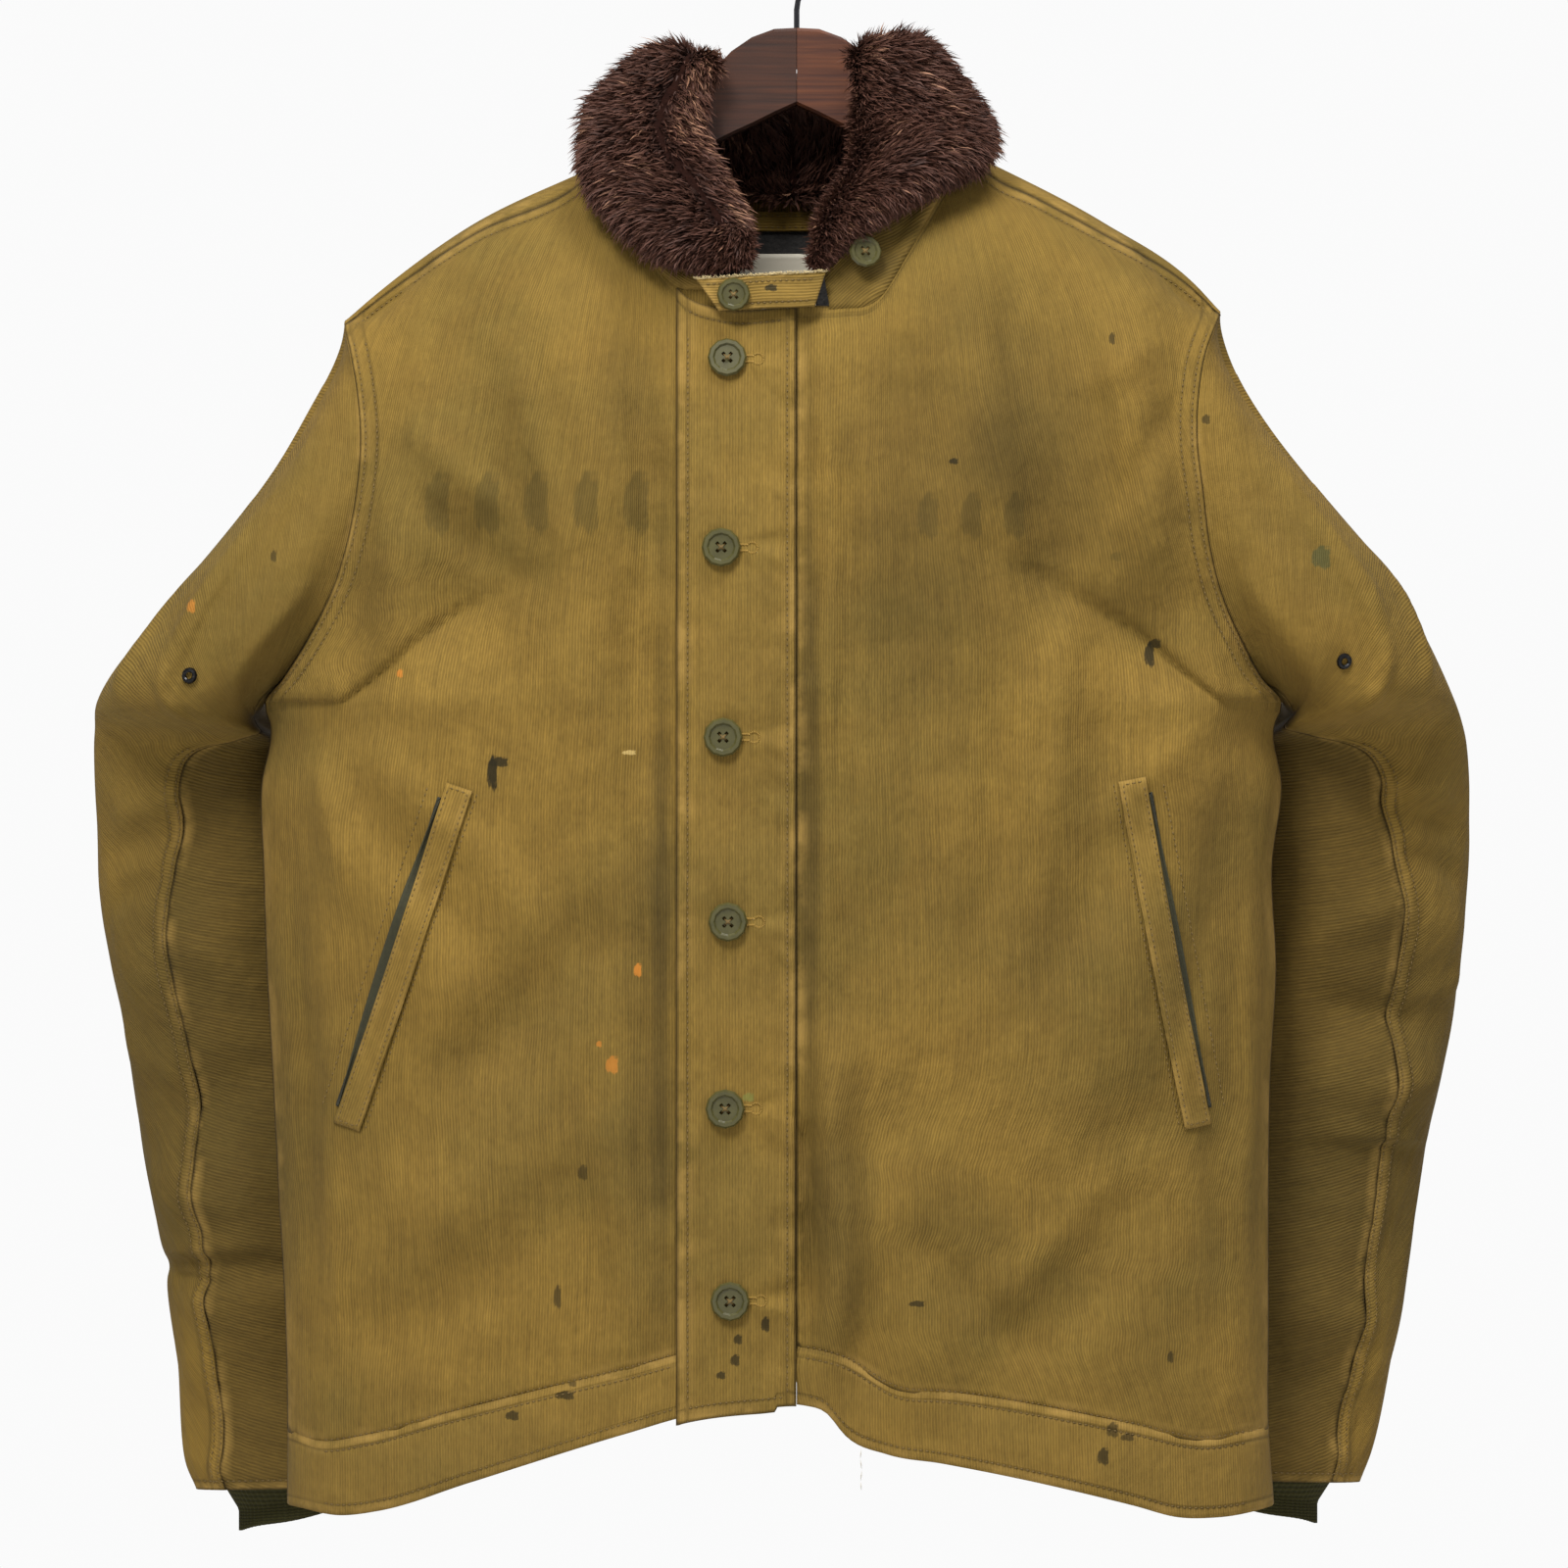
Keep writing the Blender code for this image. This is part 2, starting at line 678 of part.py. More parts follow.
# The placket lies on the left front: it is made from that panel's points, moved out, and reaches
# on to the seam with the right front.
placket_faces = []
for out in (GAP + PLACKET_WALL, GAP):
    rows = []
    for column in [LEFT_COLUMNS[-1], *UNDER_COLUMNS, *SEAM_COLUMNS[1::-1]]:
        drops = np.concatenate([front_drops("left", column, 1.1), band_drops("left", column, -1, "drop")])
        drops[-1] += 3.5 if column[1] < -10 else 1.0
        rows.append(column_of("left", column, -1, drops, 0.0, out))
    placket_faces.append(np.array(rows).transpose(1, 0, 2))
lofted_wall("placket", *placket_faces, OLIVE_WORN)

# The back runs from one side seam to the other, over the shoulder ridge to the seam before it.
back_halves = [("left", c) for c in BACK_LEFT_COLUMNS] + [("right", c) for c in BACK_RIGHT_COLUMNS[::-1]]
faces = []
bands = []
for inset in (0.0, WALL):
    panel = np.array([back_column(side, c, inset) for side, c in back_halves]).transpose(1, 0, 2)
    panel[ARM_STEPS + 1 :, (0, -1), 1] += GAP / 2
    faces.append(panel)
    band = [column_of(side, c, 1, band_drops(side, c, 1, "back"), inset) for side, c in back_halves]
    band = np.array(band).transpose(1, 0, 2)
    band[:, (0, -1), 1] += GAP / 2
    bands.append(band)
panels["back"] = faces[0]
lofted_wall("back", *faces, OLIVE, flip=True)
lofted_wall("hem_band_back", *bands, OLIVE_WORN, flip=True)


SLEEVE_CLEAR = 0.9  # between the armhole and the sleeve's first ring
# How far the back of a sleeve is pressed in behind the body, below the pit.
SLEEVE_TUCK = Table("row tuck", (0, 0), (2, 0), (3, 3), (4, 6), (5, 9), (6, 9), (7, 7), (8, 4), (9, 0), (10, 0))


def sleeve_at(side, row, angle, inset=0.0):
    """A point on a sleeve: row along it, angle round it from the outer silhouette to the front."""
    table = LEFT_SLEEVE if side == "left" else RIGHT_SLEEVE
    r = {name: float(table.at(name, row)) for name in table.columns}
    turn = math.radians(angle % 360)
    c, s = math.cos(turn), math.sin(turn)
    middle = np.array((r["out_x"] + r["in_x"], r["out_drop"] + r["in_drop"])) / 2
    reach = np.array((r["out_x"], r["out_drop"])) - middle
    size = np.linalg.norm(reach)
    outer_x, outer_drop = middle + reach * c
    x, drop = middle + reach * (1 - inset / size) * c
    near_y = r["out_y"] if c > 0 else r["in_y"]
    face = r["front"] + inset if s > 0 else r["back"] - inset
    y = near_y + (face - near_y) * abs(s)
    # The armhole seam bows in towards the chest, and the sleeve takes that bow over its first rows.
    sign = -1 if side == "left" else 1
    if row < 4.5:
        edge = edge_x(side, outer_drop, -1 if s > 0 else 1)
        start = max(1 - row / 1.5, 0)
        x += (edge - outer_x) * (1 - row / 4.5) ** 1.5
        x += inset / size * reach[0] * c * start
        x += sign * (SLEEVE_CLEAR - inset) * start
    # Behind the body's edge the sleeve is pressed in, towards the back.
    pressed = float(SLEEVE_TUCK.at("tuck", row))
    around = angle % 360
    x -= sign * pressed * float(ease(around, 172, 205) * ease(-around, -255, -215))
    fold = sum(sleeve_fold(f, row, turn) for f in SLEEVE_FOLDS)
    if fold:
        normal = normalised(np.array((x - middle[0], y - (r["front"] + r["back"]) / 2)))
        x, y = np.array((x, y)) + normal * fold
    return np.array((x, y, drop))


def sleeve_fold(fold, row, turn):
    """How far one crease moves the sleeve out."""
    row0, angle0, row1, angle1, width, rise = fold
    start, stop = math.radians(angle0), math.radians(angle1)
    if row1 - row0 > 2:
        along = (row - row0) / (row1 - row0)
        aside = turn - (start + (stop - start) * along)
    else:
        along = (turn - start) / (stop - start)
        aside = row - (row0 + (row1 - row0) * along)
    fade = ease(along, -0.1, 0.3) * ease(-along, -1.1, -0.7)
    return float(rise * fade * math.exp(-((aside / (width * 2.2)) ** 2)))


def normalised(vector):
    return vector / np.linalg.norm(vector)


SLEEVE_STEPS = np.concatenate([(0.05,), spread(1, 6, 5), (6.7, 7.4, 8.2), spread(9, 17, 6)[:-1], (16.8, 17.9, 19)])
# The armhole's corners, where the panels' rows meet it: the sleeve starts at the same corners.
FRONT_CORNERS = list(armhole_angles(-1))
BACK_CORNERS = [360 - a for a in armhole_angles(1)[::-1]]
TOP_CORNERS = [a - 360 for a in BACK_CORNERS[3:]] + FRONT_CORNERS[:-1]
UNDER_CORNERS = FRONT_CORNERS[-2:] + BACK_CORNERS[1:4]


SEAM_HALF = 0.3  # degrees cleared on each side of a sleeve seam


def sleeve_grid(side, corners, first, last, split, inset):
    """Rows of a sleeve's cut between two seams. split adds columns between the corners."""
    count = (len(corners) - 1) * split
    grid = []
    for row in SLEEVE_STEPS:
        blend = float(ease(row, 0, 5))
        even = spread(first(row), last(row), count)
        line = []
        for k in range(count + 1):
            low, rest = divmod(k, split)
            near, far = corners[low], corners[min(low + 1, len(corners) - 1)]
            start = near + (far - near) * rest / split
            shift = SEAM_HALF * ((k == 0) - (k == count))
            if row < 0.1 and rest:
                ends = [sleeve_at(side, row, a, inset) for a in (near, far)]
                line.append((ends[0] + ends[1]) / 2)
            else:
                line.append(sleeve_at(side, row, start + (even[k] - start) * blend + shift, inset))
        grid.append(line)
    return grid


for side in ("left", "right"):
    top, under = [], []
    for inset in (0.0, WALL):
        top.append(sleeve_grid(
            side, TOP_CORNERS,
            lambda row: SLEEVE_SEAMS.at("back", row) - 360,
            lambda row: SLEEVE_SEAMS.at("front", row), 1, inset,
        ))
        under.append(sleeve_grid(
            side, UNDER_CORNERS,
            lambda row: SLEEVE_SEAMS.at("front", row),
            lambda row: SLEEVE_SEAMS.at("back", row), 3, inset,
        ))
    lofted_wall("sleeve_%s_top" % side, *top, OLIVE, flip=side == "right")
    lofted_wall("sleeve_%s_under" % side, *under, OLIVE, flip=side == "right")

# Knit cuffs are set inside the sleeve ends: the top edge follows the inside of the sleeve, and the
# rest draws in to the wrist. along is the share of the way from the one to the other.
CUFF = Table(
    "row along drop tilt",
    (0, 0.0, 0, 0.0),
    (1, 0.55, 777, -0.05),
    (2, 1.0, 788, -0.22),
    (3, 1.0, 799, -0.22),
)
CUFF_RIBS = 22
CUFF_SEAT = 17.9  # the sleeve's row where the knit is sewn in
WRIST = {"left": (-262.0, 40.0, 26.0, 0.0), "right": (243.0, 40.0, 26.0, -4.0)}


def knit_cuff(side):
    sign = -1 if side == "left" else 1
    centre_x, half_x, half_y, raised = WRIST[side]
    rows = []
    for row in spread(0, 3, 3):
        along, drop, tilt = (float(CUFF.at(name, row)) for name in ("along", "drop", "tilt"))
        line = []
        for i in range(CUFF_RIBS * 2):
            turn = math.tau * i / (CUFF_RIBS * 2)
            rib = 0.7 if i % 2 and row > 0.5 else 0.0
            seat = sleeve_at(side, CUFF_SEAT, math.degrees(turn), WALL + 1.3)
            x = centre_x + sign * (half_x + rib) * math.cos(turn)
            y = 73 - (half_y + rib) * math.sin(turn)
            level = drop + raised + tilt * -sign * (x - centre_x + sign * 12)
            wrist = np.array((x, y, level))
            place = seat + (wrist - seat) * along
            place[2] = level if row else seat[2]
            line.append(place)
        rows.append(line)
    return rows


for side in ("left", "right"):
    cloth("cuff_%s_knit" % side, knit_cuff(side), KNIT, wall=KNIT_WALL, closed=True, flip=side == "right")


def collar_frame(row):
    """Centre, half width vector and thickness direction of one section of the collar."""
    c = {name: float(COLLAR.at(name, row)) for name in COLLAR.columns}
    roll = np.array((c["roll_x"], c["roll_y"], c["roll_drop"]))
    out = np.array((c["out_x"], c["out_y"], c["out_drop"]))
    return (roll + out) / 2, (out - roll) / 2, c["half"]


def collar_at(row, angle, out=0.0):
    """A point round the pile: 0 at its outer edge, 90 on the side that shows, 180 at the roll."""
    centre, reach, half = collar_frame(row)
    ahead = collar_frame(min(row + 0.4, COLLAR_LAST))[0] - collar_frame(max(row - 0.4, 0))[0]
    normal = normalised(np.cross(ahead, reach))
    turn = math.radians(angle)
    wide = np.linalg.norm(reach)
    place = centre + reach * math.cos(turn) * (1 + out / wide)
    return place - normal * math.sin(turn) * (half + out)


COLLAR_STEPS = spread(0, COLLAR_LAST, 32)
PILE_SIDES = 12


def pile_tuft(row_index, side_index):
    """Uneven tufts over the pile, up to 2.5 mm."""
    wave = math.sin(row_index * 2.3 + side_index * 1.7) + math.sin(row_index * 1.1 - side_index * 2.9)
    return 0.8 * wave


fur_rows = []
for j, row in enumerate(COLLAR_STEPS):
    line = []
    for i in range(PILE_SIDES):
        angle = 360 * i / PILE_SIDES
        shows = angle <= 180
        line.append(collar_at(row, angle, pile_tuft(j, i) if shows else -1.0))
    fur_rows.append(line)


def capped_tube(name, rows, finish):
    """A closed solid through rings of points, its two ends filled."""
    mesh = surface(name, rows, closed=True)
    shape = bmesh.new()
    shape.from_mesh(mesh)
    bmesh.ops.holes_fill(shape, edges=[e for e in shape.edges if e.is_boundary])
    bmesh.ops.triangulate(shape, faces=[f for f in shape.faces if len(f.verts) > 4])
    bmesh.ops.recalc_face_normals(shape, faces=shape.faces)
    shape.to_mesh(mesh)
    shape.free()
    piece = add(name, mesh, finish)
    mesh.shade_smooth()
    return piece


capped_tube("collar_fur", fur_rows, PILE)


def edge_point(panel, x):
    """A point of a panel's top edge."""
    line = panels[panel][0]
    line = line[np.argsort(line[:, 0])]
    return np.array([x, *(np.interp(x, line[:, 0], line[:, k]) for k in (1, 2))])


def neck_point(row):
    """The neck seam below one section of the collar: front, over the ridge, back and front again."""
    x = float(COLLAR.at("neck_x", row))
    behind = float(ease(row, 5.3, 6.5) * ease(-row, -12.7, -11.5))
    front = edge_point("front_left" if x < 0 else "front_right", x)
    seam = front + (edge_point("back", x) - front) * behind
    seam[2] -= NECK_CLEAR + 5 * behind * (1 - behind)
    seam[0] -= math.copysign(1.6 - 0.2 * behind, x) * min(abs(x) / 90, 1)
    return seam


# The cloth side of the collar climbs from the neck seam and then follows the pile's underside.
cloth_rows = []
for row in (0.15, *COLLAR_STEPS[1:-1], COLLAR_LAST - 0.15):
    seam = neck_point(row)
    angles = spread(float(COLLAR.at("hug", row)), float(COLLAR.at("rim", row)), 3)
    hug = [collar_at(row, angle, 3.2) for angle in angles]
    middle = (seam + hug[0]) / 2
    middle[0] -= math.copysign(1.5, middle[0])
    cloth_rows.append([seam, middle, *hug])
cloth("collar_cloth", cloth_rows, OLIVE, wall=1.6)

# What shows inside the neck: dark lining, its tape and a bare label.
LINING = Table(
    "drop half",
    (97, 60),
    (125, 66),
    (165, 60),
    (196, 40),
)


def inside_back(name, rows, halves, depth, finish, wall, count=8):
    """A piece that lies on the inside of the back, depth in from its outer face."""
    grid = []
    for drop, half in zip(rows, halves):
        line = []
        for x in spread(-half, half, count):
            place = body_at(x + 1e-3, drop, 1) - np.array((0, depth, 0))
            line.append(place)
        grid.append(line)
    return cloth(name, grid, finish, wall=wall)


lining_drops = spread(97, 196, 4)
inside_back("neck_lining", lining_drops, LINING.at("half", lining_drops), WALL + 4.0, DARK, 1.2)
inside_back("neck_tape", spread(96.5, 107, 2), (58, 59, 60), WALL + 5.8, OLIVE_WORN, 1.2)
inside_back("neck_label", spread(119, 150, 3), (30,) * 4, WALL + 5.2, CREAM, 0.6, 4)


def strap(name, top, bottom, out, wall, finish, x_count=6, d_count=2):
    """A strap across the throat, from its left to its right end."""
    grid = []
    for v in spread(0, 1, d_count):
        line = []
        for u in spread(0, 1, x_count):
            (ax, ad), (bx, bd) = top
            (cx, cd), (ex, ed) = bottom
            x = (ax + (bx - ax) * u) * (1 - v) + (cx + (ex - cx) * u) * v
            drop = (ad + (bd - ad) * u) * (1 - v) + (cd + (ed - cd) * u) * v
            line.append((x, out - 1.6 * math.sin(math.pi * u) - 1.0 * math.sin(math.pi * v), drop))
        grid.append(line)
    return cloth(name, grid, finish, wall=wall)


strap("throat_tab", ((-53, 138), (16, 134)), ((-41, 155), (10, 153)), -82.8, 2.0, OLIVE_WORN)


def tree_of(piece):
    return BVHTree.FromPolygons(
        [v.co.copy() for v in piece.data.vertices], [tuple(p.vertices) for p in piece.data.polygons]
    )


def on_panel(tree, x, drop, out):
    """The panel's own surface straight ahead of the viewer, moved out."""
    start = Vector(point(x, -300, drop))
    hit = tree.ray_cast(start, Vector((0, 1, 0)))[0]
    return np.array((x, hit.y * 1000 - out, drop))


def panel_strip(name, side, offset, width, out, wall, finish, widths=2, trim=0.0):
    """A strip that lies on a front along its pocket mouth."""
    tree = tree_of(parts.objects["front_" + side])
    (x0, d0), (x1, d1), off = WELTS[side]
    run = np.array((x1 - x0, d1 - d0), float)
    length = np.linalg.norm(run)
    run /= length
    aside = np.array((-run[1], run[0])) * (1 if side == "left" else -1)
    grid = []
    for v in spread(trim / length, 1 - trim / length, 18):
        line = []
        for u in spread(-0.5, 0.5, widths):
            x, drop = np.array((x0, d0)) + run * length * v + aside * (offset + width * u)
            line.append(on_panel(tree, x, drop, off + out))
        grid.append(line)
    return cloth(name, grid, finish, wall=wall, flip=side == "left")


for side in ("left", "right"):
    panel_strip("pocket_%s_welt" % side, side, 0, WELT_WIDTH, WELT_HEIGHT, WELT_HEIGHT, OLIVE_WORN)
    panel_strip(
        "pocket_%s_facing" % side, side, (WELT_WIDTH + FACING_WIDTH) / 2 + 1.2, FACING_WIDTH,
        0.6, 0.6, OLIVE, 1, 8.0,
    )

# Buttons: a turned disc with a raised rim and four holes.
BUTTON_PROFILE = Table(
    "step radius height",
    (0, 0.0, 3.0),
    (1, 6.6, 3.0),
    (2, 7.6, 4.2),
    (3, 9.4, 4.2),
    (4, 10.4, 2.6),
    (5, 9.0, 0.3),
    (6, 0.0, 0.0),
)
HOLE_RADIUS = 1.25
HOLE_RING = 2.7


def turned(name, profile, steps):
    """A profile of (radius, height) turned about Z, outer side running down."""
    mesh = bpy.data.meshes.new(name)
    mesh.from_pydata([(r / 1000, 0, h / 1000) for r, h in profile], [(i, i + 1) for i in range(len(profile) - 1)], [])
    turned_piece = bpy.data.objects.new(name, mesh)
    cutters.objects.link(turned_piece)
    screw = turned_piece.modifiers.new("Turn", "SCREW")
    screw.steps = screw.render_steps = steps
    screw.use_merge_vertices = True
    screw.merge_threshold = 0.00001
    bpy.context.view_layer.update()
    result = bpy.data.meshes.new_from_object(turned_piece.evaluated_get(bpy.context.evaluated_depsgraph_get()))
    bpy.data.objects.remove(turned_piece, do_unlink=True)
    return result


def button_mesh():
    rows = list(zip(BUTTON_PROFILE.columns["radius"], BUTTON_PROFILE.columns["height"]))
    body_mesh = turned("button_blank", rows, 12)
    blank = bpy.data.objects.new("button_blank", body_mesh)
    cutters.objects.link(blank)
    holes = bmesh.new()
    for i in range(4):
        turn = math.tau * (i + 0.5) / 4
        made = bmesh.ops.create_cone(
            holes, cap_ends=True, segments=4, radius1=HOLE_RADIUS / 1000, radius2=HOLE_RADIUS / 1000, depth=0.02
        )
        shift = (HOLE_RING / 1000 * math.cos(turn), HOLE_RING / 1000 * math.sin(turn), 0)
        bmesh.ops.translate(holes, verts=made["verts"], vec=shift)
    hole_mesh = bpy.data.meshes.new("button_holes")
    holes.to_mesh(hole_mesh)
    holes.free()
    cutter = bpy.data.objects.new("button_holes", hole_mesh)
    cutters.objects.link(cutter)
    cut = blank.modifiers.new("Holes", "BOOLEAN")
    cut.object = cutter
    cut.operation = "DIFFERENCE"
    bpy.context.view_layer.update()
    result = bpy.data.meshes.new_from_object(blank.evaluated_get(bpy.context.evaluated_depsgraph_get()))
    bpy.data.objects.remove(blank, do_unlink=True)
    bpy.data.objects.remove(cutter, do_unlink=True)
    return result


blank_button = button_mesh()


def seen_at(names, x, drop):
    """The first of these pieces' surfaces straight ahead of the viewer: its place and normal."""
    start = Vector(point(x, -300, drop))
    hits = [tree_of(parts.objects[name]).ray_cast(start, Vector((0, 1, 0))) for name in names]
    return min((h for h in hits if h[0]), key=lambda h: h[0].y, default=(None, None))[:2]


def place_button(name, x, drop, on, facing, scale=1.0):
    """Set a button down on the pieces named, as low as its flat back goes."""
    mesh = blank_button.copy()
    piece = add(name, mesh, BUTTON)
    mesh.shade_smooth()
    mesh.set_sharp_from_angle(angle=math.radians(40))
    for v in mesh.vertices:
        v.co *= scale
    facing = Vector(facing).normalized()
    centre = seen_at(on, x, drop)[0]
    height = 0.0
    for reach, turn in ((r, math.radians(a)) for r in (4, 7, 10.4) for a in range(0, 360, 20)):
        spot = seen_at(on, x + reach * scale * math.cos(turn), drop + reach * scale * math.sin(turn))[0]
        if spot:
            height = max(height, (spot - centre).dot(facing))
    piece.location = centre + facing * (height + GAP / 1000)
    piece.rotation_euler = facing.to_track_quat("Z", "Y").to_euler()


for number, x, drop in zip(*BUTTONS.columns.values()):
    above, below = (seen_at(["placket"], x, drop + step)[0] for step in (-9, 9))
    place_button("button_%d" % number, x, drop, ["placket"], (0, -18, (above.y - below.y) * 1000))
place_button("button_tab", -33, 146.5, ["throat_tab"], (0, -1, 0), 0.85)
place_button("button_collar", 34, 126, ["collar_cloth", "collar_fur"], (0.25, -1, 0.25), 0.85)


def eyelet(name, side, x, drop, lift):
    """A pressed ring on the sleeve, straight ahead of the viewer at x and drop."""
    profile = [(1.9, 0.0), (1.9, 0.9), (2.6, 1.5), (3.9, 1.2), (4.5, 0.0), (1.9, 0.0)]
    mesh = turned(name, profile, 12)
    ring = bmesh.new()
    ring.from_mesh(mesh)
    bmesh.ops.remove_doubles(ring, verts=ring.verts, dist=0.00001)
    bmesh.ops.recalc_face_normals(ring, faces=ring.faces)
    ring.to_mesh(mesh)
    ring.free()
    piece = add(name, mesh, BLACK)
    mesh.shade_smooth()
    centre, normal = seen_at(["sleeve_%s_%s" % (side, cut) for cut in ("top", "under")], x, drop)
    piece.location = centre + normal * lift / 1000
    piece.rotation_euler = normal.to_track_quat("Z", "Y").to_euler()
    return piece


eyelet("eyelet_left", "left", -322.4, 348, 1.4)
eyelet("eyelet_right", "right", 291.2, 340, 1.9)


def hanger_section(row, sign):
    """A rounded section across the wood at one place along it."""
    x = row
    top, bottom, half = (float(HANGER.at(name, x)) for name in ("top", "bottom", "half"))
    bevel = min(3.0, (bottom - top) * 0.3)
    ring = []
    for cy, cd, start in ((-1, -1, 180), (1, -1, 270), (1, 1, 0), (-1, 1, 90)):
        for step in range(2):
            turn = math.radians(start + 22.5 + 45 * step)
            y = cy * (half - bevel) + bevel * math.cos(turn)
            drop = (top + bevel if cd < 0 else bottom - bevel) + bevel * math.sin(turn)
            ring.append((sign * x, y, drop))
    return ring


JOINT_X = 0.5  # the two halves meet just right of the placket seam


def hanger_half(side):
    sign = -1 if side == "left" else 1
    rows = []
    for x in (0.15, 12, 24, 35, 43, 51, 58, 70, 86, 110, 150, 190, 210, 218):
        ring = hanger_section(x, sign)
        rows.append([(px + JOINT_X, py, pd) for px, py, pd in ring])
    piece = capped_tube("hanger_" + side, rows, WOOD)
    piece.data.set_sharp_from_angle(angle=math.radians(50))
    bore = bmesh.new()
    bmesh.ops.create_cone(bore, cap_ends=True, segments=12, radius1=0.0018, radius2=0.0018, depth=0.05)
    bore_mesh = bpy.data.meshes.new("hook_bore")
    bore.to_mesh(bore_mesh)
    bore.free()
    cutter = bpy.data.objects.new("hook_bore_" + side, bore_mesh)
    cutter.location = point(JOINT_X, 0, 0)
    cutter.hide_render = True
    cutter.display_type = "WIRE"
    cutters.objects.link(cutter)
    cut = piece.modifiers.new("Bore", "BOOLEAN")
    cut.object = cutter
    cut.operation = "DIFFERENCE"
    return piece


for side in ("left", "right"):
    hanger_half(side)

# The hook: a wire from its seat in the wood, round the crest, to a free end.
HOOK_RADIUS = 1.5
HOOK_BEND = 21.5
hook_path = [(-1.0, -CREST_DROP - 22.0), (-1.0, -CREST_DROP), (-1.0, -52.0), (-0.2, -46.5), (4.0, -41.5)]
for turn in range(-62, 209, 18):
    a = math.radians(turn)
    hook_path.append((HOOK_BEND * math.cos(a), HOOK_RADIUS - HOOK_BEND + HOOK_BEND * math.sin(a)))
curve = bpy.data.curves.new("hook", "CURVE")
curve.dimensions = "3D"
curve.bevel_depth = HOOK_RADIUS / 1000
curve.bevel_resolution = 1
curve.use_fill_caps = True
line = curve.splines.new("POLY")
line.points.add(len(hook_path) - 1)
for spot, (x, z) in zip(line.points, hook_path):
    spot.co = (x / 1000, 0, z / 1000, 1)
curve.materials.append(material("hook", *STEEL))
hook = bpy.data.objects.new("hook", curve)
parts.objects.link(hook)
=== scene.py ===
"""Deck jacket with a brown pile collar on a wooden hanger: its looks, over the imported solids.

Lengths in the tables are millimetres: x runs to the viewer's right from the placket seam, y away
from the viewer, drop down from the crest of the wooden hanger.
"""

import math

import bpy
import numpy as np
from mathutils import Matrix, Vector
from mathutils.bvhtree import BVHTree


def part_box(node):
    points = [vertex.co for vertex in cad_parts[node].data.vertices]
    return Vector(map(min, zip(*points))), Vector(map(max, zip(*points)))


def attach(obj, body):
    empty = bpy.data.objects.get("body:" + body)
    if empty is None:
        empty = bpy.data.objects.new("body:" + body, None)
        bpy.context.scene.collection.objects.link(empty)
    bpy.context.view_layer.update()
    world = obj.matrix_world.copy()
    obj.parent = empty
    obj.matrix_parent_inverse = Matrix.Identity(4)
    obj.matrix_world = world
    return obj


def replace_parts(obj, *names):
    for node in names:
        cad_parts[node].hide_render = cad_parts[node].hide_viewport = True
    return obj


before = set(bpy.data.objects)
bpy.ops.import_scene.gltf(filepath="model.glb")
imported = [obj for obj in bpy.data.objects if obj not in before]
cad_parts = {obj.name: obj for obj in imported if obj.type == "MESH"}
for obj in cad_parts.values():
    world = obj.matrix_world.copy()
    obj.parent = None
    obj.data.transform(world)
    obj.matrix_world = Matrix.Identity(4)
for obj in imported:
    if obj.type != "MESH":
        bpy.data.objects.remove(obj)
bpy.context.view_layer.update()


# Hanger: two mirrored halves of dark red-brown beech, lacquered, glued along the middle. The grain
# runs out along each arm, the left half a shade darker than the right one. The hook is black wire.
def linear(code, alpha=1.0):
    """An sRGB hex colour as linear RGBA."""
    parts = [int(code[i : i + 2], 16) / 255 for i in (1, 3, 5)]
    return (*(c / 12.92 if c <= 0.04045 else ((c + 0.055) / 1.055) ** 2.4 for c in parts), alpha)


def node(tree, kind, inputs=None, **settings):
    """Add a node, set what it is given and link what is a socket."""
    made = tree.nodes.new("ShaderNode" + kind)
    for name, value in settings.items():
        setattr(made, name, value)
    for name, value in (inputs or {}).items():
        if isinstance(value, bpy.types.NodeSocket):
            tree.links.new(value, made.inputs[name])
        else:
            made.inputs[name].default_value = value
    return made


def finish_named(name, roughness, **constants):
    """A new material, its tree and its shader."""
    made = bpy.data.materials.new(name)
    made.use_nodes = True
    shader = made.node_tree.nodes["Principled BSDF"]
    shader.inputs["Roughness"].default_value = roughness
    for key, value in constants.items():
        shader.inputs[key.replace("_", " ")].default_value = value
    return made, made.node_tree, shader


def blend(tree, share, first, second, **settings):
    """One colour over another by a share; each is a socket or a hex colour."""
    first, second = (linear(c) if isinstance(c, str) else c for c in (first, second))
    return node(tree, "MixRGB", {"Fac": share, "Color1": first, "Color2": second}, **settings).outputs[0]


def ramp(tree, value, low, high, start=0.0, end=1.0, **settings):
    """A value stretched from low and high to start and end, and held there."""
    limits = {"Value": value, "From Min": low, "From Max": high, "To Min": start, "To Max": end}
    return node(tree, "MapRange", limits, **settings).outputs[0]


def noise(tree, place, scale, detail=2.0, roughness=0.5):
    """Cloudy noise, from 0 to 1."""
    given = {"Vector": place, "Scale": scale, "Detail": detail, "Roughness": roughness}
    return node(tree, "TexNoise", given).outputs["Fac"]


def lines_apart(spacing):
    """The wave texture's scale for lines this many metres apart."""
    return math.tau / 20 / spacing


def embossed(tree, shader, height, strength, distance):
    """A fine bump, its distance in metres."""
    bump = node(tree, "Bump", {"Height": height, "Strength": strength, "Distance": distance})
    tree.links.new(bump.outputs[0], shader.inputs["Normal"])


def speckled(name, roughness, scale, dark, light, detail=2.0, bump=None, **constants):
    """A finish in two close tones, mottled finely; bump is its strength and distance."""
    made, tree, shader = finish_named(name, roughness, **constants)
    place = node(tree, "TexCoord").outputs["Object"]
    grain = noise(tree, place, scale, detail)
    tree.links.new(blend(tree, grain, dark, light), shader.inputs["Base Color"])
    if bump:
        embossed(tree, shader, grain, *bump)
    return made


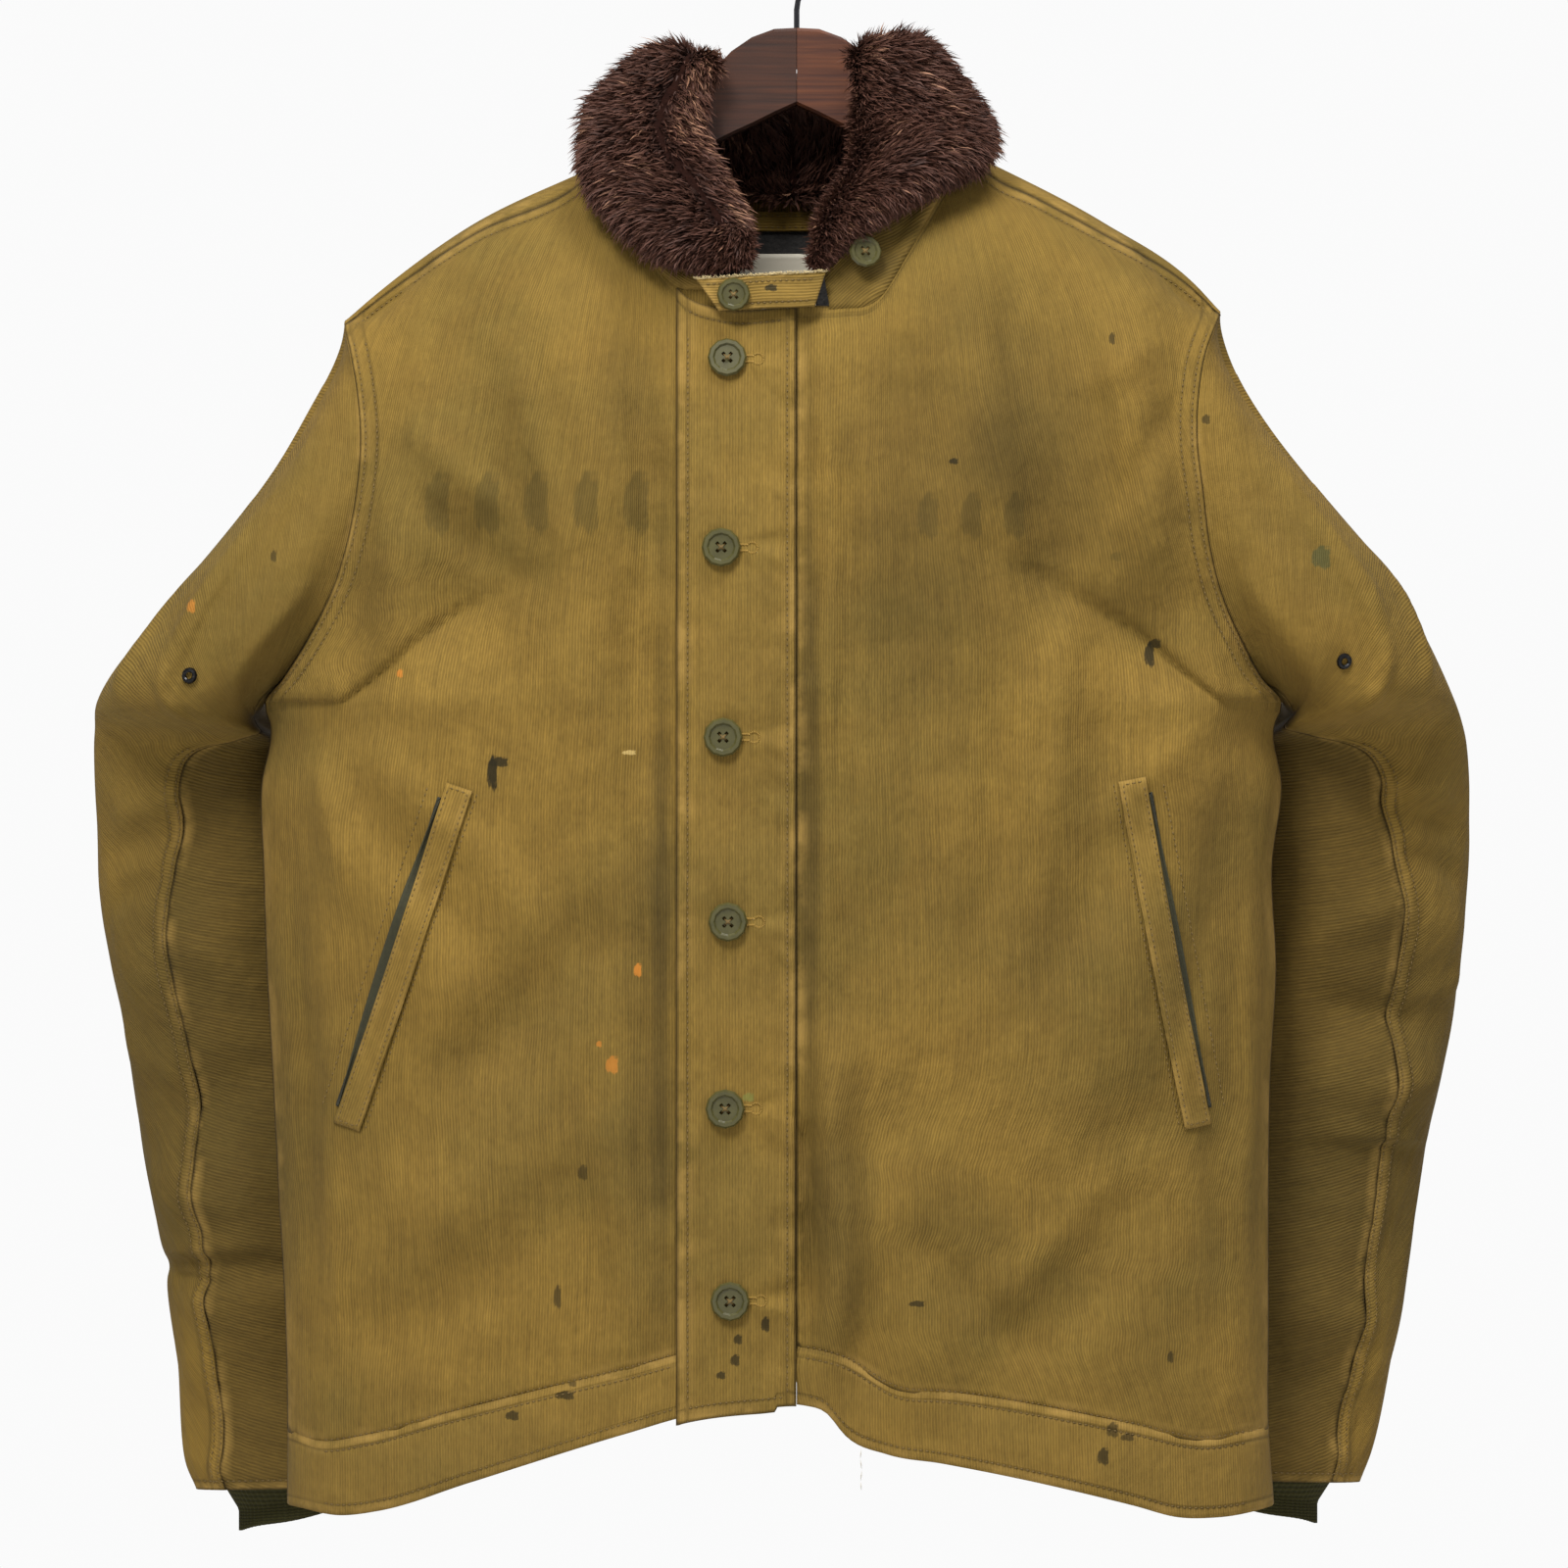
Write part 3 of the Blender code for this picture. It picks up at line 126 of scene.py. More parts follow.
def lacquered_wood(name, dark, light):
    """Fine lengthwise grain under a thin glossy lacquer."""
    made, tree, shader = finish_named(name, 0.5, Specular_IOR_Level=0.3, Coat_Weight=0.05, Coat_Roughness=0.3)
    place = node(tree, "TexCoord").outputs["Object"]
    # The grain is about 1 mm wide and 60 mm long.
    drawn = node(tree, "Mapping", {"Vector": place, "Scale": (14, 260, 420)})
    grain = noise(tree, drawn.outputs[0], 1.0, 6.0, 0.6)
    broad = noise(tree, place, 24.0)
    share = ramp(tree, grain, 0.35, 0.66)
    colour = blend(tree, share, dark, light)
    worn = blend(tree, broad, colour, dark)
    tree.links.new(worn, shader.inputs["Base Color"])
    embossed(tree, shader, grain, 0.25, 0.0004)
    return made


def assign(name, material):
    """Give a CAD node a finish; its mesh stays as it is."""
    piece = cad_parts[name]
    for slot in piece.material_slots:
        slot.material = material


assign("hanger_left", lacquered_wood("beech_dark_stain", "#241006", "#46230F"))
assign("hanger_right", lacquered_wood("beech_red_stain", "#34170A", "#5E3216"))
wire, tree, shader = finish_named("black_wire", 0.35, Metallic=0.9)
rub = node(tree, "TexNoise", {"Scale": 300.0, "Detail": 3.0})
tone = blend(tree, rub.outputs["Fac"], "#101012", "#3A3A3E")
tree.links.new(tone, shader.inputs["Base Color"])
assign("hook", wire)
glue = speckled("dark_glue_line", 0.7, 500.0, "#1A0B06", "#2E160C")
# The glue fills the joint below the hook's seat, 9 mm short of either face of the wood.
glue_mesh = bpy.data.meshes.new("hanger_joint_glue")
corners = [(-1.0 + dx, dy, -62 - dd) for dx in (-0.12, 0.12) for dy in (-8, 8) for dd in (24.5, 40)]
glue_mesh.from_pydata([tuple(v / 1000 for v in c) for c in corners], [],
                      [(0, 1, 3, 2), (4, 6, 7, 5), (0, 4, 5, 1), (2, 3, 7, 6), (0, 2, 6, 4), (1, 5, 7, 3)])
glue_mesh.materials.append(glue)
joint = bpy.data.objects.new("hanger_joint_glue", glue_mesh)
bpy.context.scene.collection.objects.link(joint)
soften = joint.modifiers.new("Rounded", "BEVEL")
soften.width, soften.segments = 0.00005, 2
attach(joint, "root")


# Back: one cut of cotton grosgrain with its lining behind it. It comes over the shoulder ridge to a
# seam just in front of it. Warp ribs run down it; wear has paled the cloth along its seams.
CREST_DROP = 62.0  # the wood's crest below the inside of the hook
SEAM_X = -1.5  # the placket seam stands a little left of the hook
WALL = 2.2  # cotton grosgrain with its pile lining pressed behind it
SHOULDER_ROUND = 150.0  # drop over which the shoulder turns from the ridge to the chest
ARM_DEPTH = 56.0  # half the armhole's depth, front to back
PIT_DROP = 362.0
PLACKET_LEFT = 63.4  # the placket's free edge, left of its seam


class Table:
    """Rows under named columns, read smoothly along the first column."""

    def __init__(self, names, *rows):
        self.columns = dict(zip(names.split(), np.array(rows, float).T))
        self.key = self.columns[names.split()[0]]

    def at(self, name, where):
        keys, values = self.key, self.columns[name]
        where = np.clip(where, keys[0], keys[-1])
        slopes = np.gradient(values, keys)
        i = np.clip(np.searchsorted(keys, where) - 1, 0, len(keys) - 2)
        step = keys[i + 1] - keys[i]
        t = (where - keys[i]) / step
        return (
            (2 * t**3 - 3 * t**2 + 1) * values[i]
            + (t**3 - 2 * t**2 + t) * step * slopes[i]
            + (3 * t**2 - 2 * t**3) * values[i + 1]
            + (t**3 - t**2) * step * slopes[i + 1]
        )


# Half widths of the body. Down to the pit they follow the front armhole seams.
SIDES = Table(
    "drop left right",
    (152, 242, 228),
    (157, 242, 226),
    (175, 238, 219),
    (197, 234, 215),
    (223, 232, 214),
    (250, 234, 217),
    (281, 240, 221),
    (307, 249, 228),
    (331, 262, 239),
    (350, 275, 250),
    (362, 285, 261),
    (374, 282, 257),
    (406, 287, 261),
    (447, 286, 256),
    (506, 284, 258),
    (559, 281, 255),
    (620, 278, 254),
    (694, 274, 254),
    (751, 273, 254),
    (795, 273, 257),
)
# The ridge of the shoulders, from one tip to the other.
RIDGE = Table(
    "x drop",
    (-242, 157),
    (-222, 140),
    (-178, 108),
    (-110, 75),
    (-80, 61),
    (-45, 44),
    (0, 30),
    (45, 42),
    (80, 60),
    (100, 70),
    (165, 104),
    (215, 138),
    (228, 152),
)
# How far the front and the back stand from the middle plane.
DEPTHS = Table(
    "drop front back",
    (0, 60, 52),
    (100, 68, 56),
    (155, 76, 59),
    (250, 92, 60),
    (360, 98, 60),
    (480, 100, 60),
    (620, 98, 60),
    (720, 94, 60),
    (800, 90, 61),
)
# Top edge of the back: the part before the ridge is negative, the part behind it positive.
BACK_TOP = Table(
    "x past_ridge",
    (-242, -2.7),
    (-232, -3.5),
    (-172, -7),
    (-108, -3.5),
    (-98, 3),
    (-88, 12),
    (-60, 30),
    (0, 57),
    (50, 37),
    (78, 14),
    (88, 4),
    (98, -5),
    (129, -8),
    (190, -6),
    (228, -2.7),
)
BAND_SEAM = Table(
    "x drop back",
    (-285, 752, 752),
    (-271, 753, 753),
    (-256, 757, 755),
    (-228, 753, 750),
    (-190, 742, 738),
    (-89, 716, 706),
    (-40, 704, 698),
    (0, 704, 696),
    (24, 709, 697),
    (54, 726, 699),
    (77, 728, 702),
    (181, 747, 735),
    (216, 755, 749),
    (246, 752, 750),
    (262, 750, 750),
)
HEM = Table(
    "x drop back",
    (-285, 791, 791),
    (-267, 792, 791),
    (-243, 795, 792),
    (-222, 792, 788),
    (-173, 776, 772),
    (-89, 749, 740),
    (-54, 739, 734),
    (-20, 735, 731),
    (4, 734, 730),
    (16, 738, 730),
    (26, 750, 731),
    (48, 760, 734),
    (77, 765, 738),
    (181, 789, 776),
    (202, 795, 784),
    (224, 796, 790),
    (262, 791, 791),
)
# Neck seam of the two fronts; beyond its ends the shoulder seam is their top edge.
NECK = Table(
    "x drop",
    (-112, 55),
    (-99, 76),
    (-89, 104),
    (-75, 127),
    (-58, 146),
    (-40, 152.5),
    (0, 151.5),
    (25, 151.5),
    (43, 147),
    (60, 121),
    (77, 90),
    (88, 70),
    (100, 50),
)
BACK_FOLDS = (
    # x0, drop0, x1, drop1, width, rise
    (-120, 130, -135, 420, 30, -9),
    (-70, 140, -60, 620, 28, 8),
    (20, 130, 10, 640, 34, -8),
    (95, 150, 115, 560, 28, 8),
    (165, 180, 170, 480, 26, -9),
    (-215, 340, -120, 540, 26, 9),
    (205, 340, 120, 560, 26, 9),
    (-190, 560, 20, 650, 24, -8),
    (190, 600, 60, 690, 24, -8),
)
# Shallow creases that only show in a raking light.
BACK_CREASES = (
    (-230, 200, -150, 250, 9, 2.2),
    (-225, 235, -140, 300, 9, -2.0),
    (222, 210, 150, 260, 9, 2.2),
    (225, 250, 140, 320, 9, -2.0),
    (-60, 130, 70, 128, 7, -1.6),
    (-200, 470, -60, 520, 12, 1.8),
    (190, 480, 60, 540, 12, 1.8),
)


def ease(value, low, high):
    t = np.clip((value - low) / (high - low), 0, 1)
    return t * t * (3 - 2 * t)


def spread(first, last, count):
    return np.linspace(first, last, count + 1)


def sway(a, b, seed):
    """Smooth uneven wave between -1 and 1, the same on every run."""
    return (
        np.sin(a * 1.0 + seed * 1.7 + 1.3 * np.sin(b * 0.61 + seed))
        + np.sin(a * 0.57 - b * 0.83 + seed * 2.9)
        + np.sin(b * 1.31 + a * 0.29 + seed * 0.7)
    ) / 3


def folds_at(folds, x, drop):
    """How far the folds move the cloth out at each place."""
    total = np.zeros_like(x)
    for x0, d0, x1, d1, width, rise in folds:
        run = math.hypot(x1 - x0, d1 - d0)
        ux, ud = (x1 - x0) / run, (d1 - d0) / run
        along = (x - x0) * ux + (drop - d0) * ud
        aside = (x - x0) * ud - (drop - d0) * ux + width * 0.25 * np.sin(along / 23)
        fade = ease(along, -0.15 * run, 0.25 * run) * ease(-along, -1.15 * run, -0.75 * run)
        total += rise * fade * np.exp(-((aside / width) ** 2))
    return total


def edge_x(side, drop, face):
    """The body's edge: armhole seam down to the pit, side seam below it."""
    tip = TIP[side]
    half = SIDES.at(side, np.maximum(drop, tip))
    if face > 0:
        top, pit = SIDES.at(side, tip), SIDES.at(side, PIT_DROP)
        bowed = (half + top + (pit - top) * np.clip((drop - tip) / (PIT_DROP - tip), 0, 1)) / 2
        half = np.where(drop < PIT_DROP, bowed, half)
    return SIGN[side] * half


def body(side, share, drop, face, end_x=0.0, creases=()):
    """Points on the body between its edge and end_x."""
    share, drop = np.broadcast_arrays(np.asarray(share, float), np.asarray(drop, float))
    edge = edge_x(side, drop, face)
    x = edge + (end_x - edge) * share
    whole = np.clip((edge - x) / edge, 0, 1)
    tip = TIP[side]
    radius = (PIT_DROP - tip) / 2
    ridge = RIDGE.at("drop", x)
    fall = np.maximum(drop - ridge, 0)
    start = tip + (ridge - tip) * ease(whole, 0.0, 0.25)
    climb = (drop - start - radius) / radius
    rim = ARM_DEPTH * np.sqrt(np.maximum(1 - climb**2, 0))
    turn = np.sqrt(1 - (1 - np.minimum(fall, SHOULDER_ROUND) / SHOULDER_ROUND) ** 2)
    full = DEPTHS.at("front" if face < 0 else "back", drop) * turn
    power = 2.3 if face < 0 else 2.0
    low = (1 - (1 - whole) ** power) ** (1 / power)
    high = 1 - (1 - whole) ** 3
    across = high + (low - high) * ease(drop, PIT_DROP - 60, PIT_DROP + 6)
    y = face * (rim * (1 - across) + full * across)
    calm = ease(whole, 0.0, 0.14) * ease(fall, 0, 40)
    main = FRONT_FOLDS if face < 0 else BACK_FOLDS
    y = y + face * folds_at(main, x, drop) * calm
    y = y + face * 1.7 * folds_at(creases, x, drop) * ease(whole, 0.0, 0.05) * ease(fall, 0, 15)
    return np.stack([x, y, drop], axis=-1)


def crossing(side, share, end_x, face, line):
    """The drop where each column of a panel meets a line that is given along x."""
    drop = line(np.zeros_like(share))
    for _ in range(8):
        edge = edge_x(side, drop, face)
        drop = line(edge + (end_x - edge) * share)
    return drop


def point(place):
    """Tables' millimetres as metres in the model."""
    place = np.asarray(place, float)
    return np.stack(
        [(place[..., 0] + SEAM_X) / 1000, place[..., 1] / 1000, -(CREST_DROP + place[..., 2]) / 1000], axis=-1
    )


def arm_fall(face, count):
    """Rows between the top edge and the pit, close together at both ends."""
    angles = spread(13.2 if face < 0 else 0.0, 180.0, count)
    fall = 1 - np.cos(np.radians(angles))
    return (fall - fall[0]) / (fall[-1] - fall[0])


def lengths(grid, axis):
    """Running length along one direction of a grid."""
    steps = np.linalg.norm(np.diff(grid, axis=axis), axis=-1)
    start = np.zeros_like(np.take(steps, [0], axis=axis))
    return np.concatenate([start, np.cumsum(steps, axis=axis)], axis=axis)


def relief(edge, along, rise=0.9, width=11.0, pucker=0.35, seed=1.0):
    """A felled seam: the folded allowance stands out beside it, puckered by its stitches."""
    ridge = rise * ease(edge, 0.0, 1.6) * ease(-edge, -width - 2.5, -width)
    dent = -0.5 * np.exp(-((edge - width - 1.5) / 2.2) ** 2)
    wave = sway(along / 2.9, edge / 9, seed) + 0.6 * sway(along / 1.6, edge / 7, seed + 3)
    return ridge + dent + pucker * wave * np.exp(-((edge - width * 0.6) / 10.0) ** 2)


FAR = 60.0  # mm, says that no seam or row of stitches is near


def placed(name, mesh, material):
    """A smooth mesh as a piece of the scene."""
    mesh.shade_smooth()
    mesh.materials.append(material)
    piece = bpy.data.objects.new(name, mesh)
    bpy.context.scene.collection.objects.link(piece)
    return piece


def shown(name, grid, material, edge=None, wall=1.2, closed=False, flip=False, held=None, rows=None,
          anchor=None):
    """A cloth shell whose outer face passes through the grid, with UVs in metres along it."""
    grid = np.asarray(grid, float)
    if flip:
        grid = grid[:, ::-1]
        edge = None if edge is None else edge[:, ::-1]
        rows = None if rows is None else rows[:, ::-1]
    down, across = grid.shape[:2]
    index = np.arange(down * across).reshape(down, across)
    right = np.roll(index, -1, axis=1) if closed else index[:, 1:]
    left = index if closed else index[:, :-1]
    faces = np.stack([left[:-1], left[1:], right[1:], right[:-1]], axis=-1).reshape(-1, 4)
    mesh = bpy.data.meshes.new(name)
    mesh.from_pydata(point(grid).reshape(-1, 3).tolist(), [], faces.tolist())
    u, v = lengths(grid, 1) / 1000, lengths(grid, 0) / 1000
    middle = across // 2 if anchor is None else across - 1 - anchor if flip else anchor
    u = u - u[:, [middle]]
    v = v[:, [across // 2]] + (v - v[:, [across // 2]]) * 0.3
    flat = np.stack([u, v], axis=-1).reshape(-1, 2)
    layer = mesh.uv_layers.new(name="cloth")
    corners = np.zeros(len(mesh.loops), int)
    mesh.loops.foreach_get("vertex_index", corners)
    layer.data.foreach_set("uv", flat[corners].reshape(-1))
    for key, values in (("edge", edge), ("row", rows)):
        near = mesh.attributes.new(key, "FLOAT", "POINT")
        values = FAR if values is None else values
        near.data.foreach_set("value", np.broadcast_to(values, (down, across)).reshape(-1))
    piece = placed(name, mesh, material)
    shell = piece.modifiers.new("Wall", "SOLIDIFY")
    shell.thickness, shell.offset = wall / 1000, -1
    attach(piece, "root")
    if held:
        down_by, over_by = grid[1:, :-1] - grid[:-1, :-1], grid[:-1, 1:] - grid[:-1, :-1]
        cell = np.linalg.norm(np.cross(down_by, over_by), axis=-1)
        wide, tall = float(lengths(grid, 1)[:, -1].max()) / 1000, float(lengths(grid, 0)[-1].max()) / 1000
        if closed:
            wide += float(np.linalg.norm(grid[:, 0] - grid[:, -1], axis=-1).max()) / 1000
        area = float(cell.sum()) / 1e6 * (across / (across - 1) if closed else 1)
        area = min(area, 0.999 * wide * tall)
    return piece


def spot_at(tree, place, x, drop, half_x, half_drop):
    """Places round a spot in units of its half sizes, whatever their depth."""
    size = (1000 / half_x, 0.0, 1000 / half_drop)
    shift = tuple(-c * s for c, s in zip(point((x, 0, drop)), size))
    return node(tree, "Mapping", {"Vector": place, "Location": shift, "Scale": size}).outputs[0]


def cotton(name, across=False, stains=(), painted_shades=(), paler=0.0, rib=1.6, unfaded_and_shade=0.0):
    """Cotton grosgrain: ribbed, dry, olive gold, paled by wear and darker where it is soiled; painted shade
    darkens given patches, the seams and the stitch rows.
    """
    made, tree, shader = finish_named(name, 0.88, Specular_IOR_Level=0.18)
    flat = node(tree, "UVMap", uv_map="cloth").outputs[0]
    place = node(tree, "TexCoord").outputs["Object"]
    warp = node(tree, "TexNoise", {"Vector": flat, "Scale": 60.0, "Detail": 3.0})
    turned = node(tree, "VectorMath", {0: warp.outputs["Color"], 1: (0.0006, 0.0006, 0.0)},
                  operation="MULTIPLY")
    loose = node(tree, "VectorMath", {0: flat, 1: turned.outputs[0]}, operation="ADD").outputs[0]
    # The real ribs are 1.1 mm apart; they are drawn half as coarse again, so that they hold a step
    # away. The yarn's thick and thin places run along them.
    ribs = node(
        tree, "TexWave", {"Vector": loose, "Scale": lines_apart(rib / 1000), "Distortion": 0.6,
                          "Detail": 2.0, "Detail Scale": 0.4},
        bands_direction="Y" if across else "X",
    )
    yarn_size = (180, 1400, 1) if across else (1400, 180, 1)
    yarn_place = node(tree, "Mapping", {"Vector": flat, "Scale": yarn_size})
    yarn = noise(tree, yarn_place.outputs[0], 1.0, 3.0)
    # Broad patches, each some 100 mm: sun-paled gold, mid olive and soiled green-brown.
    broad = noise(tree, place, 7.0, 3.0, 0.55)
    fine = noise(tree, place, 34.0, 4.0, 0.65)
    patch = ramp(tree, broad, 0.36, 0.62)
    tone = blend(tree, patch, SOILED, GOLD)
    mottle = ramp(tree, fine, 0.42, 0.66, end=0.45)
    tone = blend(tree, mottle, tone, OLIVE_MID)
    # Cloth that the sun doesn't reach has kept its deeper green-brown, and so have handled places; the same
    # deep tone is also painted shade, as on the under cuts of the sleeves and the collar stand.
    if unfaded_and_shade:
        tone = blend(tree, unfaded_and_shade, tone, DEEP_TONE_AND_SHADE)
    # Soft patches of painted shade, each at a given place and size, blended to the deep tone.
    for x, drop, half_x, half_drop, strength in painted_shades:
        spot = spot_at(tree, place, x, drop, half_x, half_drop)
        far = node(tree, "VectorMath", {0: spot}, operation="LENGTH")
        away = node(tree, "Math", {0: broad, 1: 1.2, 2: far.outputs["Value"]}, operation="MULTIPLY_ADD")
        hit = ramp(tree, away.outputs[0], 1.7, 0.7, end=strength, interpolation_type="SMOOTHSTEP")
        tone = blend(tree, hit, tone, DEEP_TONE_AND_SHADE)
    # Each rib's crown catches the light, the groove between ribs stays dark.
    crown = ramp(tree, ribs.outputs["Fac"], 0.0, 1.0, 0.80, 1.12)
    thick = ramp(tree, yarn, 0.3, 0.7, 0.84, 1.12)
    both = node(tree, "Math", {0: crown, 1: thick}, operation="MULTIPLY")
    # Slubs: streaks a few millimetres wide and some 50 mm long.
    slub_place = node(tree, "Mapping", {"Vector": flat, "Scale": (24, 380, 1) if across else (380, 24, 1)})
    slub = noise(tree, slub_place.outputs[0], 1.0)
    slub = ramp(tree, slub, 0.3, 0.7, 0.88, 1.10)
    both = node(tree, "Math", {0: both.outputs[0], 1: slub}, operation="MULTIPLY")
    weave = node(tree, "CombineXYZ", {0: both.outputs[0], 1: both.outputs[0], 2: both.outputs[0]})
    tone = blend(tree, 1.0, tone, weave.outputs[0], blend_type="MULTIPLY")
    # Wear: rubbed pale in the first millimetres beside a seam or an edge, in broken patches.
    edge = node(tree, "Attribute", attribute_name="edge").outputs["Fac"]
    reach = ramp(tree, edge, 7.0, 0.0, end=0.75)
    rubbed = ramp(tree, fine, 0.44, 0.62)
    wear = node(tree, "Math", {0: reach, 1: rubbed}, operation="MULTIPLY")
    wear = node(tree, "Math", {0: wear.outputs[0], 1: paler}, operation="ADD", use_clamp=True)
    tone = blend(tree, wear.outputs[0], tone, WORN)
    # The first millimetre beside a seam or an edge is darkened: painted shade in the seam's groove.
    groove = ramp(tree, edge, 1.4, 0.0, end=0.8)
    tone = blend(tree, groove, tone, "#2A2009")
    # Each row of topstitching pulls a dark dotted line into the cloth: painted shade along the sunk row,
    # which the bump below also presses in.
    near_row = node(tree, "Attribute", attribute_name="row").outputs["Fac"]
    pressed = ramp(tree, near_row, 1.5, 0.2, end=0.5)
    tone = blend(tree, pressed, tone, "#3E3112")
    for x, drop, half_x, half_drop, code, strength in stains:
        spot = spot_at(tree, place, x, drop, half_x, half_drop)
        ragged = noise(tree, spot, 1.6, 3.0)
        far = node(tree, "VectorMath", {0: spot}, operation="LENGTH")
        rough = node(tree, "Math", {0: ragged, 1: 1.5, 2: -0.75}, operation="MULTIPLY_ADD")
        away = node(tree, "Math", {0: far.outputs["Value"], 1: rough.outputs[0]}, operation="ADD")
        hit = ramp(tree, away.outputs[0], 1.15, 0.85, end=strength)
        tone = blend(tree, hit, tone, code)
    tree.links.new(tone, shader.inputs["Base Color"])
    height = node(tree, "Math", {0: ribs.outputs["Fac"], 1: yarn}, operation="ADD")
    rumple = noise(tree, place, 55.0, 3.0)
    soft = node(tree, "Bump", {"Height": rumple, "Strength": 0.3, "Distance": 0.008})
    sunk = node(tree, "Math", {0: pressed, 1: -1.0}, operation="MULTIPLY")
    line = node(tree, "Bump", {"Height": sunk.outputs[0], "Strength": 0.7, "Distance": 0.0012,
                               "Normal": soft.outputs[0]})
    bump = node(tree, "Bump", {"Height": height.outputs[0], "Strength": 0.45, "Distance": 0.0005,
                               "Normal": line.outputs[0]})
    tree.links.new(bump.outputs[0], shader.inputs["Normal"])
    return made


GOLD = "#705823"
OLIVE_MID = "#604A1C"
SOILED = "#624F20"
WORN = "#8C7038"
# The deep tone is both the cloth's own unfaded green-brown and painted shade.
DEEP_TONE_AND_SHADE = "#34290D"
TIP = {"left": 157.0, "right": 152.0}
SIGN = {"left": -1, "right": 1}
# Soft folds of the fronts and of the back: a line from one point to another, how wide it is, and
# how far it stands out (or sinks in, where negative).
FRONT_FOLDS = (
    # x0, drop0, x1, drop1, width, rise
    (22, 545, 20, 720, 13, 15),
    (9, 560, 7, 700, 5, -9),
    (60, 600, 58, 735, 26, 8),
    (34, 160, 30, 470, 22, 8),
    (120, 120, 150, 330, 22, -8),
    (78, 110, 92, 330, 20, 6),
    (178, 150, 190, 300, 18, 8),
    (225, 330, 170, 560, 24, 8),
    (175, 330, 145, 520, 18, -6),
    (205, 560, 120, 720, 26, -8),
    (240, 420, 225, 700, 12, -6),
    (-84, 165, -80, 420, 14, -8),
    (-112, 130, -118, 400, 24, 9),
    (-170, 140, -165, 330, 22, -8),
    (-215, 250, -200, 420, 20, 8),
    (-250, 400, -170, 560, 26, 8),
    (-262, 470, -255, 720, 10, -6),
    (-190, 560, -90, 480, 22, -9),
    (-215, 640, -110, 590, 26, 8),
    (-240, 700, -150, 660, 20, -6),
    (-85, 560, -92, 720, 14, 6),
)

back_grid, back_edge = [], []
for side in ("left", "right"):
    inner = spread(0, 1, 58) ** 1.15
    ridge_of = lambda x: RIDGE.at("drop", x)
    past_of = lambda x: BACK_TOP.at("past_ridge", x)
    top = crossing(side, inner, 0.0, 1, lambda x: ridge_of(x) + np.maximum(past_of(x), 0))
    before = crossing(side, inner, 0.0, -1, lambda x: ridge_of(x) - np.minimum(past_of(x), 0))
    seam = crossing(side, inner, 0.0, 1, lambda x: BAND_SEAM.at("back", x))
    arm = top + (PIT_DROP - top) * arm_fall(1, 52)[:, None]
    low = PIT_DROP + (seam - PIT_DROP) * spread(0, 1, 64)[1:, None]
    grid = body(side, inner, np.concatenate([arm, low]), 1, 0.0, BACK_CREASES)
    x = grid[..., 0]
    away = np.minimum(np.abs(x - edge_x(side, grid[..., 2], 1)), seam - grid[..., 2])
    grid[..., 1] += relief(away, grid[..., 2], 0.7, 8.0)
    # The strip before the ridge, down to the shoulder seam; over the neck it is only a lip.
    short = past_of(grid[0, :, 0]) >= 0
    front = body(side, inner, before, -1)
    lip = grid[0] - np.array((0, 0, 1.2))
    first = np.where(short[:, None], lip, front)
    ahead = [first + (grid[0] - first) * t - np.array((0, 0, 1)) * 0.8 * math.sin(math.pi * t)
             for t in (0, 0.35, 0.7)]
    grid = np.concatenate([ahead, grid])
    away = np.concatenate([[np.zeros_like(inner), np.full_like(inner, 2.0), np.full_like(inner, 4.0)], away])
    back_grid.append(grid if side == "left" else grid[:, ::-1][:, 1:])
    back_edge.append(away if side == "left" else away[:, ::-1][:, 1:])
back_grid, back_edge = np.concatenate(back_grid, axis=1), np.concatenate(back_edge, axis=1)
back_cotton = cotton("grosgrain_back")
back_cloth = shown("back_cloth", back_grid, back_cotton, back_edge, flip=True,
                   held=("hung", ["hanger_left", "hanger_right"]))
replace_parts(back_cloth, "back")


# Fronts: the same grosgrain, one cut each side. Ribs run down them. Beside every seam the cloth is
# felled, topstitched and rubbed pale; ink and rust have left small stains, and a row of plain
# faded bars crosses each chest.
FRONT_CREASES = (
    (-205, 215, -150, 262, 8, 2.4),
    (-210, 246, -140, 300, 8, -2.0),
    (-150, 170, -120, 300, 10, 1.8),
    (-238, 372, -120, 500, 12, 2.6),
    (-232, 410, -140, 540, 11, -2.2),
    (-255, 392, -238, 470, 6, 2.0),
    (-268, 450, -258, 620, 6, -2.4),
    (-252, 560, -246, 700, 7, 2.0),
    (-130, 560, -100, 700, 12, -2.2),
    (-92, 180, -86, 300, 7, 2.0),
    (-88, 400, -80, 640, 6, -1.6),
    (96, 130, 120, 330, 10, 2.2),
    (140, 110, 172, 290, 11, -2.4),
    (112, 330, 96, 520, 12, -2.6),
    (150, 300, 132, 430, 10, 2.0),
    (30, 210, 26, 420, 6, -2.0),
    (18, 180, 15, 520, 5, 1.8),
    (222, 372, 160, 430, 9, 2.2),
    (236, 395, 200, 560, 9, -2.2),
    (246, 470, 240, 650, 7, 2.2),
    (190, 600, 90, 690, 12, 2.4),
    (60, 640, 130, 712, 10, -2.0),
    (205, 200, 170, 262, 8, -2.2),
    (198, 170, 150, 200, 8, 2.0),
)
INK = "#1E1908"
RUST = "#9A6222"
